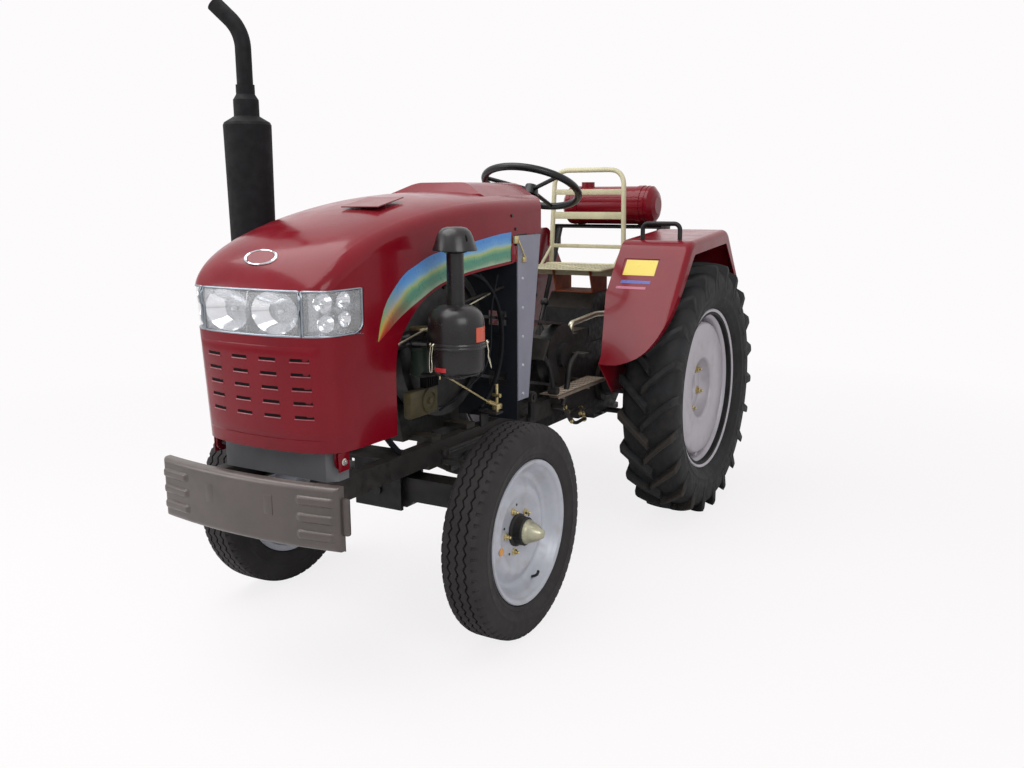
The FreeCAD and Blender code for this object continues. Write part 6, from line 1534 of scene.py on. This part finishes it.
# %% Rods, pipe and guard
throttle = swept_mesh([(0.286, -1.041, 0.918), (0.215, -0.425, 1.003)], 0.0032, 12)
make_piece("throttle_rod", throttle, ROD_ZINC, "chassis")
clutch = [swept_mesh([(0.296, -0.862, 0.812), (0.256, -0.520, 0.654)], 0.0030, 12),
          swept_mesh([(0.250, -0.466, 0.706), (0.250, -0.466, 0.612)], 0.0055, 12),
          swept_mesh([(0.256, -0.530, 0.659), (0.251, -0.458, 0.632)], 0.0075, 12),
          block_mesh((0.240, -0.482, 0.622), (0.262, -0.450, 0.640), 0.002),
          swept_mesh([(0.236, -0.466, 0.668), (0.264, -0.466, 0.668)], 0.0075, 6),
          swept_mesh(rounded_path([(0.296, -0.862, 0.792), (0.300, -0.866, 0.822), (0.288, -0.872, 0.832),
                                   (0.284, -0.868, 0.806)], 0.006, 4), 0.0022, 8)]
make_piece("clutch_rod", joined_mesh(clutch), YELLOW_ZINC, "chassis")
arms = [swept_mesh(rounded_path([(0.190, -0.858, 0.800), (0.260, -0.858, 0.800),
                                 (0.297, -0.862, 0.812)], 0.02), 0.006, 10),
        block_mesh((0.196, -0.490, 0.560), (0.204, -0.444, 0.616), 0.001),
        block_mesh((0.196, -0.490, 0.606), (0.262, -0.444, 0.613), 0.001),
        swept_mesh(rounded_path([(0.190, -0.640, 0.975), (0.215, -0.440, 1.003),
                                 (0.215, -0.358, 1.012)], 0.03), 0.005, 10)]
make_piece("control_arms", joined_mesh(arms), CHASSIS, "chassis")
drain_path = rounded_path([(0.150, -1.060, 0.690), (0.196, -1.020, 0.668), (0.203, -0.975, 0.610),
                          (0.190, -0.925, 0.575)], 0.03, 8)
make_piece("drain_pipe", swept_mesh(drain_path, 0.009, 14), HOSE, "chassis")
pedal_path = rounded_path([(0.240, 0.150, 0.712), (0.252, 0.120, 0.716), (0.252, 0.060, 0.690),
                           (0.250, 0.045, 0.600), (0.246, 0.020, 0.540)], 0.045, 8)
pedal_arm = [swept_mesh(pedal_path, 0.0105, 14), block_mesh((0.225, 0.128, 0.706),
                                                            (0.281, 0.178, 0.722), 0.004)]
make_piece("brake_pedal_arm", joined_mesh(pedal_arm), CHASSIS, "chassis")
crank = [swept_mesh([(0.205, 0.020, 0.535), (0.262, 0.020, 0.535)], 0.0110, 14),
         swept_mesh([(0.252, 0.020, 0.535), (0.252, 0.075, 0.472)], 0.0080, 12),
         swept_mesh([(0.226, 0.050, 0.500), (0.226, 0.250, 0.486)], 0.0065, 12),
         block_mesh((0.206, 0.150, 0.462), (0.250, 0.196, 0.498), 0.005),
         swept_mesh(rounded_path([(0.252, 0.075, 0.472), (0.252, 0.120, 0.452), (0.252, 0.185, 0.455)],
                                 0.02), 0.0070, 12)]
make_piece("brake_linkage", joined_mesh(crank), CHASSIS, "chassis")
nuts = []
for point, facing in (((0.256, 0.020, 0.535), (1, 0, 0)), ((0.256, 0.075, 0.472), (1, 0, 0)),
                      ((0.250, 0.162, 0.484), (1, 0, 0)), ((0.250, 0.186, 0.476), (1, 0, 0)),
                      ((0.226, 0.100, 0.497), (0, 1, 0)), ((0.226, 0.215, 0.489), (0, 1, 0)),
                      ((0.252, 0.192, 0.455), (0, 1, 0))):
    nuts.append(placed(bolt_mesh(0.015, 0.008), point, facing))
make_piece("linkage_nuts", joined_mesh(nuts), YELLOW_ZINC, "chassis")
fuel_path = rounded_path([(0.236, -0.430, 1.06), (0.240, -0.480, 0.960), (0.241, -0.483, 0.820),
                          (0.240, -0.530, 0.752), (0.238, -0.660, 0.706), (0.205, -0.735, 0.665)], 0.06, 8)
make_piece("fuel_pipe", swept_mesh(fuel_path, 0.0032, 12), HOSE, "chassis")
print("rods and links", len(clutch) + len(arms) + len(crank))


# %% Tube guard round the flywheel
FLYWHEEL_Y, FLYWHEEL_Z = -0.630, 0.852


def round_flywheel(degrees, across, radius):
    """A point on a circle round the flywheel's axle, this many degrees up from straight back."""
    angle = math.radians(degrees)
    return across, FLYWHEEL_Y + radius * math.cos(angle), FLYWHEEL_Z + radius * math.sin(angle)


INNER_HOOP, OUTER_HOOP, STAY_FOOT = (0.222, 0.241), (0.238, 0.226), (0.186, 0.262)
guard = [swept_mesh([round_flywheel(-68 + 190 * step / 60, *hoop) for step in range(61)], 0.0050, 10)
         for hoop in (INNER_HOOP, OUTER_HOOP)]
for degrees in (-66, 0, 66, 120):
    stay = [round_flywheel(degrees, *hoop) for hoop in (OUTER_HOOP, INNER_HOOP, STAY_FOOT)]
    guard.append(swept_mesh(stay, 0.0045, 8))
make_piece("flywheel_guard", joined_mesh(guard), HOSE, "chassis")
print("guard parts", len(guard))

# %% Covers and ribs on the engine
BOSS_AT, FILTER_AT = (0.210, -0.800, 0.710), (0.214, -0.838, 0.0)
cover_parts = [block_mesh((0.180, -0.892, 0.664), (0.213, -0.746, 0.750), 0.013),
               turned_mesh(mm(0, 0, 0, 36, 8, 36, 10, 33, 10, 27, 6, 25, 6, 0), 40, BOSS_AT, X_AXIS),
               turned_mesh(mm(0, 0, 0, 10, 12, 9, 12, 0), 24, BOSS_AT, X_AXIS)]
make_piece("olive_side_cover", joined_mesh(cover_parts), OLIVE, "chassis")
can = turned_mesh(mm(790, 0, 790, 24, 796, 30, 870, 30, 872, 33, 880, 33, 882, 28, 924, 28, 924, 0), 40,
                  FILTER_AT)
make_piece("oil_filter", can, GREEN_IRON, "chassis")
lid = turned_mesh(mm(924, 0, 924, 35, 931, 35, 936, 30, 938, 10, 938, 0), 40, FILTER_AT)
make_piece("oil_filter_lid", lid, YELLOW_ZINC, "chassis")
rib = block_mesh((0.188, -0.0015, 0.748), (0.214, 0.0015, 0.818), 0.0007)
ribs = row_mesh(rib, 6, (0, -0.808, 0), (0, 0.0115, 0), HEAT)
make_piece("engine_ribs", ribs, HEAT, "chassis")
print("ribs", len(ribs.polygons))

# %% Bolts on the dash pillars
PILLAR_SKIN = node_skin("dash_pillars")
pillar_bolts = []
for sign in (1, -1):
    place = side_hit(PILLAR_SKIN, sign, -0.330, 0.943)
    head = turned_mesh(mm(-2, 0, -2, 6.2, 1.5, 6, 3.8, 4, 4.4, 0), 16)
    placed(head, (0, 0, 0), (sign, 0, 0))
    pillar_bolts.append(row_mesh(head, 5, (place.x, -0.330, 0.652), (0, 0, 0.0973), WHEEL))
make_piece("pillar_bolts", joined_mesh(pillar_bolts), WHEEL, "chassis")
print("pillar bolts", len(pillar_bolts) * 5)

# %% [markdown]
# ## Seat
# The driver's seat is a pressed pan with punched holes, which lets rain through, and a
# ladder back: one tube bent to a hoop, three flat rungs welded across, and a brace down to
# each side of the pan. The holes are drawn as discs of painted shade in rows, two rows of
# the node tree's copies one inside the other.

# %% Seat back and pan holes
HOOP_MIDDLE, HOOP_HALF = -0.030, 0.166


def hoop_y(level):
    """The hoop leans back a little with height."""
    return 0.790 + 0.018 * (level - 0.99) / 0.44


left_x, right_x = HOOP_MIDDLE - HOOP_HALF, HOOP_MIDDLE + HOOP_HALF
corners = [(left_x - 0.012, hoop_y(0.985), 0.985), (left_x, hoop_y(1.416), 1.416),
           (right_x, hoop_y(1.416), 1.416), (right_x + 0.012, hoop_y(0.985), 0.985)]
back_parts = [swept_mesh(rounded_path(corners, 0.070, 12), 0.0105, 16)]
for level, half_high in ((1.322, 0.012), (1.220, 0.0155), (1.086, 0.0085)):
    y = hoop_y(level)
    back_parts.append(block_mesh((left_x - 0.008, y - 0.004, level - half_high),
                                 (right_x + 0.008, y + 0.002, level + half_high), 0.0012))
for x in (left_x - 0.010, right_x + 0.010):
    back_parts.append(swept_mesh([(x, hoop_y(1.085), 1.085), (x, 0.690, 1.004)], 0.0065, 12))
    back_parts.append(block_mesh((x - 0.004, 0.640, 0.986), (x + 0.004, 0.800, 1.008), 0.001))
back_piece = make_piece("seat_back", joined_mesh(back_parts), SEAT, "chassis", 40,
                        ["seat_frame"])
# Each hole is a thin disc of painted shade.
hole = turned_mesh(mm(-0.6, 0, -0.6, 6.2, 0.4, 6.2, 0.4, 0), 12)
pan_low, pan_high = box_of("seat_pan")
row = row_mesh(hole, 12, (-0.165, 0, 0), (0.030, 0, 0), PAINTED_SHADE)
holes = row_mesh(row, 10, (0, pan_low.y + 0.035, pan_high.z), (0, 0.029, 0), PAINTED_SHADE)
make_piece("pan_holes", holes, PAINTED_SHADE, "chassis")
rolled = rounded_path([(-0.196, 0.452, 0), (0.196, 0.452, 0), (0.196, 0.758, 0), (-0.196, 0.758, 0),
                       (-0.196, 0.452, 0)], 0.03, 6)
rolled = [Vector((point.x, point.y, pan_high.z - 0.001)) for point in rolled[1:-1]]
pan = [block_mesh((-0.198, 0.448, pan_high.z - 0.004), (0.198, 0.764, pan_high.z), 0.001),
       swept_mesh(rolled, 0.0060, 10, closed=True),
       block_mesh((-0.190, 0.590, pan_low.z - 0.010), (0.190, 0.625, pan_high.z - 0.003), 0.001)]
make_piece("punched_pan", joined_mesh(pan), SEAT, "chassis", 35, ["seat_pan"])
print(back_piece.name, len(back_piece.data.polygons))

# %% [markdown]
# ## Tank carrier, levers and tread
# The cross tank lies on a black angle between the fenders, with two stays down to the axle
# housing. Beside the driver a bright plated lever lies forward, and the foot plates have
# raised bars in two directions, the pattern rolled into checker plate for grip.

# %% Tank carrier
tank_low, tank_high = box_of("fuel_tank")
bed = tank_low.z - 0.0005
carrier = [block_mesh((-0.281, 0.945, bed - 0.008), (0.281, 1.000, bed), 0.001),
           block_mesh((-0.281, 0.945, bed - 0.016), (0.281, 0.950, bed), 0.001)]
for sign in (1, -1):
    carrier.append(swept_mesh(rounded_path([(0.245 * sign, 0.962, bed - 0.004), (0.245 * sign, 0.80, 0.82),
                                            (0.245 * sign, 0.70, 0.612)], 0.05), 0.011, 12))
    carrier.append(side_block(sign, (0.262, 0.935, 1.075), (0.2815, 0.995, bed)))
carrier = make_piece("tank_carrier", joined_mesh(carrier), CHASSIS, "chassis", 35,
                     ["tank_bracket"])
straps = []
middle = (tank_low.y + tank_high.y) / 2
for across in (-0.150, 0.150):
    band = turned_mesh(mm(-12, 85, -12, 87.2, 12, 87.2, 12, 85), 64,
                       (across, middle, tank_low.z + 0.086), X_AXIS, closed=True)
    straps.append(band)
make_piece("tank_straps", joined_mesh(straps), MAROON, "chassis")
print(carrier.name, len(carrier.data.polygons))

# %% Plated lever and foot plate tread
lever = rounded_path([(0.196, 0.180, 0.762), (0.200, 0.172, 0.826), (0.200, 0.400, 0.840),
                      (0.200, 0.622, 0.822)], 0.02, 8)
make_piece("chrome_lever", swept_mesh(lever, 0.0110, 20), ROD_ZINC, "chassis")
plates, bars = [], []
plate_low, plate_high = box_of("foot_platforms")
outer_edge = plate_high.x - 0.004
top = plate_high.z
bar_outline = mm(-12.5, 0, -9, 2.2, 0, 3, 9, 2.2, 12.5, 0)
raised = turned_mesh(bar_outline, 8, axis=X_AXIS)
for sign in (1, -1):
    for inner, drop in ((0.201, 0.004), (outer_edge - 0.004, 0.014)):
        plates.append(side_block(sign, (inner, plate_low.y + 0.06, top - drop), (outer_edge, 0.320, top)))
    for y in (0.0, 0.215):
        plates.append(side_block(sign, (0.199, y, top - 0.030), (0.262, y + 0.004, top - 0.003)))
    for hand, shift in ((1, 0.0), (-1, 0.016)):
        bar = raised.copy()
        bar.transform(Matrix.Rotation(math.radians(45 * hand), 4, "Z"))
        line = row_mesh(bar, 5, (0.2165 * sign, plate_low.y + 0.08 + shift, top - 0.0006),
                        (0.0135 * sign, 0, 0), CHECKER)
        bars.append(row_mesh(line, 11, (0, 0, 0), (0, 0.034, 0), CHECKER))
make_piece("foot_plates", joined_mesh(plates), CHECKER, "chassis", 35, ["foot_platforms"])
make_piece("foot_plate_tread", joined_mesh(bars), CHECKER_BAR, "chassis")
print("tread bars", 5 * 11 * 4)

# %% [markdown]
# ## Fender plate and stripes
# The sloping front face of each fender has a shallow pressed panel. The left one carries a
# plain yellow plate, and below it two plain printed stripes, one blue and one pink. Each is
# a thin sheet on the face, whose slope is read by casting rays at the CAD fender.

# %% Fender plate and stripes
FENDER_SKIN = node_skin("fender_left")
SLOPE = Vector((0, -0.778, 0.628)).normalized()


def on_fender(across, level, proud):
    """A point on the left fender's sloping face, and the direction it faces."""
    start = Vector((across, 0.115 + (level - 0.69) * 0.807, level)) + SLOPE * 0.1
    return hit(FENDER_SKIN, start, -SLOPE)[0] + SLOPE * proud, SLOPE


def fender_sheet(x_low, x_high, z_low, z_high, proud, thick):
    """A flat sheet on the fender's face."""
    def point_at(across, level):
        return on_fender(across, level, proud)
    return slab_mesh(patch(point_at, (x_low, x_high), (z_low, z_high), 8, 2), thick)


make_piece("yellow_plate", fender_sheet(0.327, 0.458, 1.004, 1.060, 0.0012, 0.0010),
           FILMS["yellow_plate_film"], "chassis")
make_piece("blue_stripe", fender_sheet(0.330, 0.452, 0.9735, 0.9845, 0.0006, 0.0005),
           FILMS["blue_stripe_film"], "chassis")
make_piece("pink_stripe", fender_sheet(0.318, 0.440, 0.9535, 0.9625, 0.0006, 0.0005),
           FILMS["pink_stripe_film"], "chassis")
print("fender plate and stripes laid on a slope of", tuple(round(c, 3) for c in SLOPE))
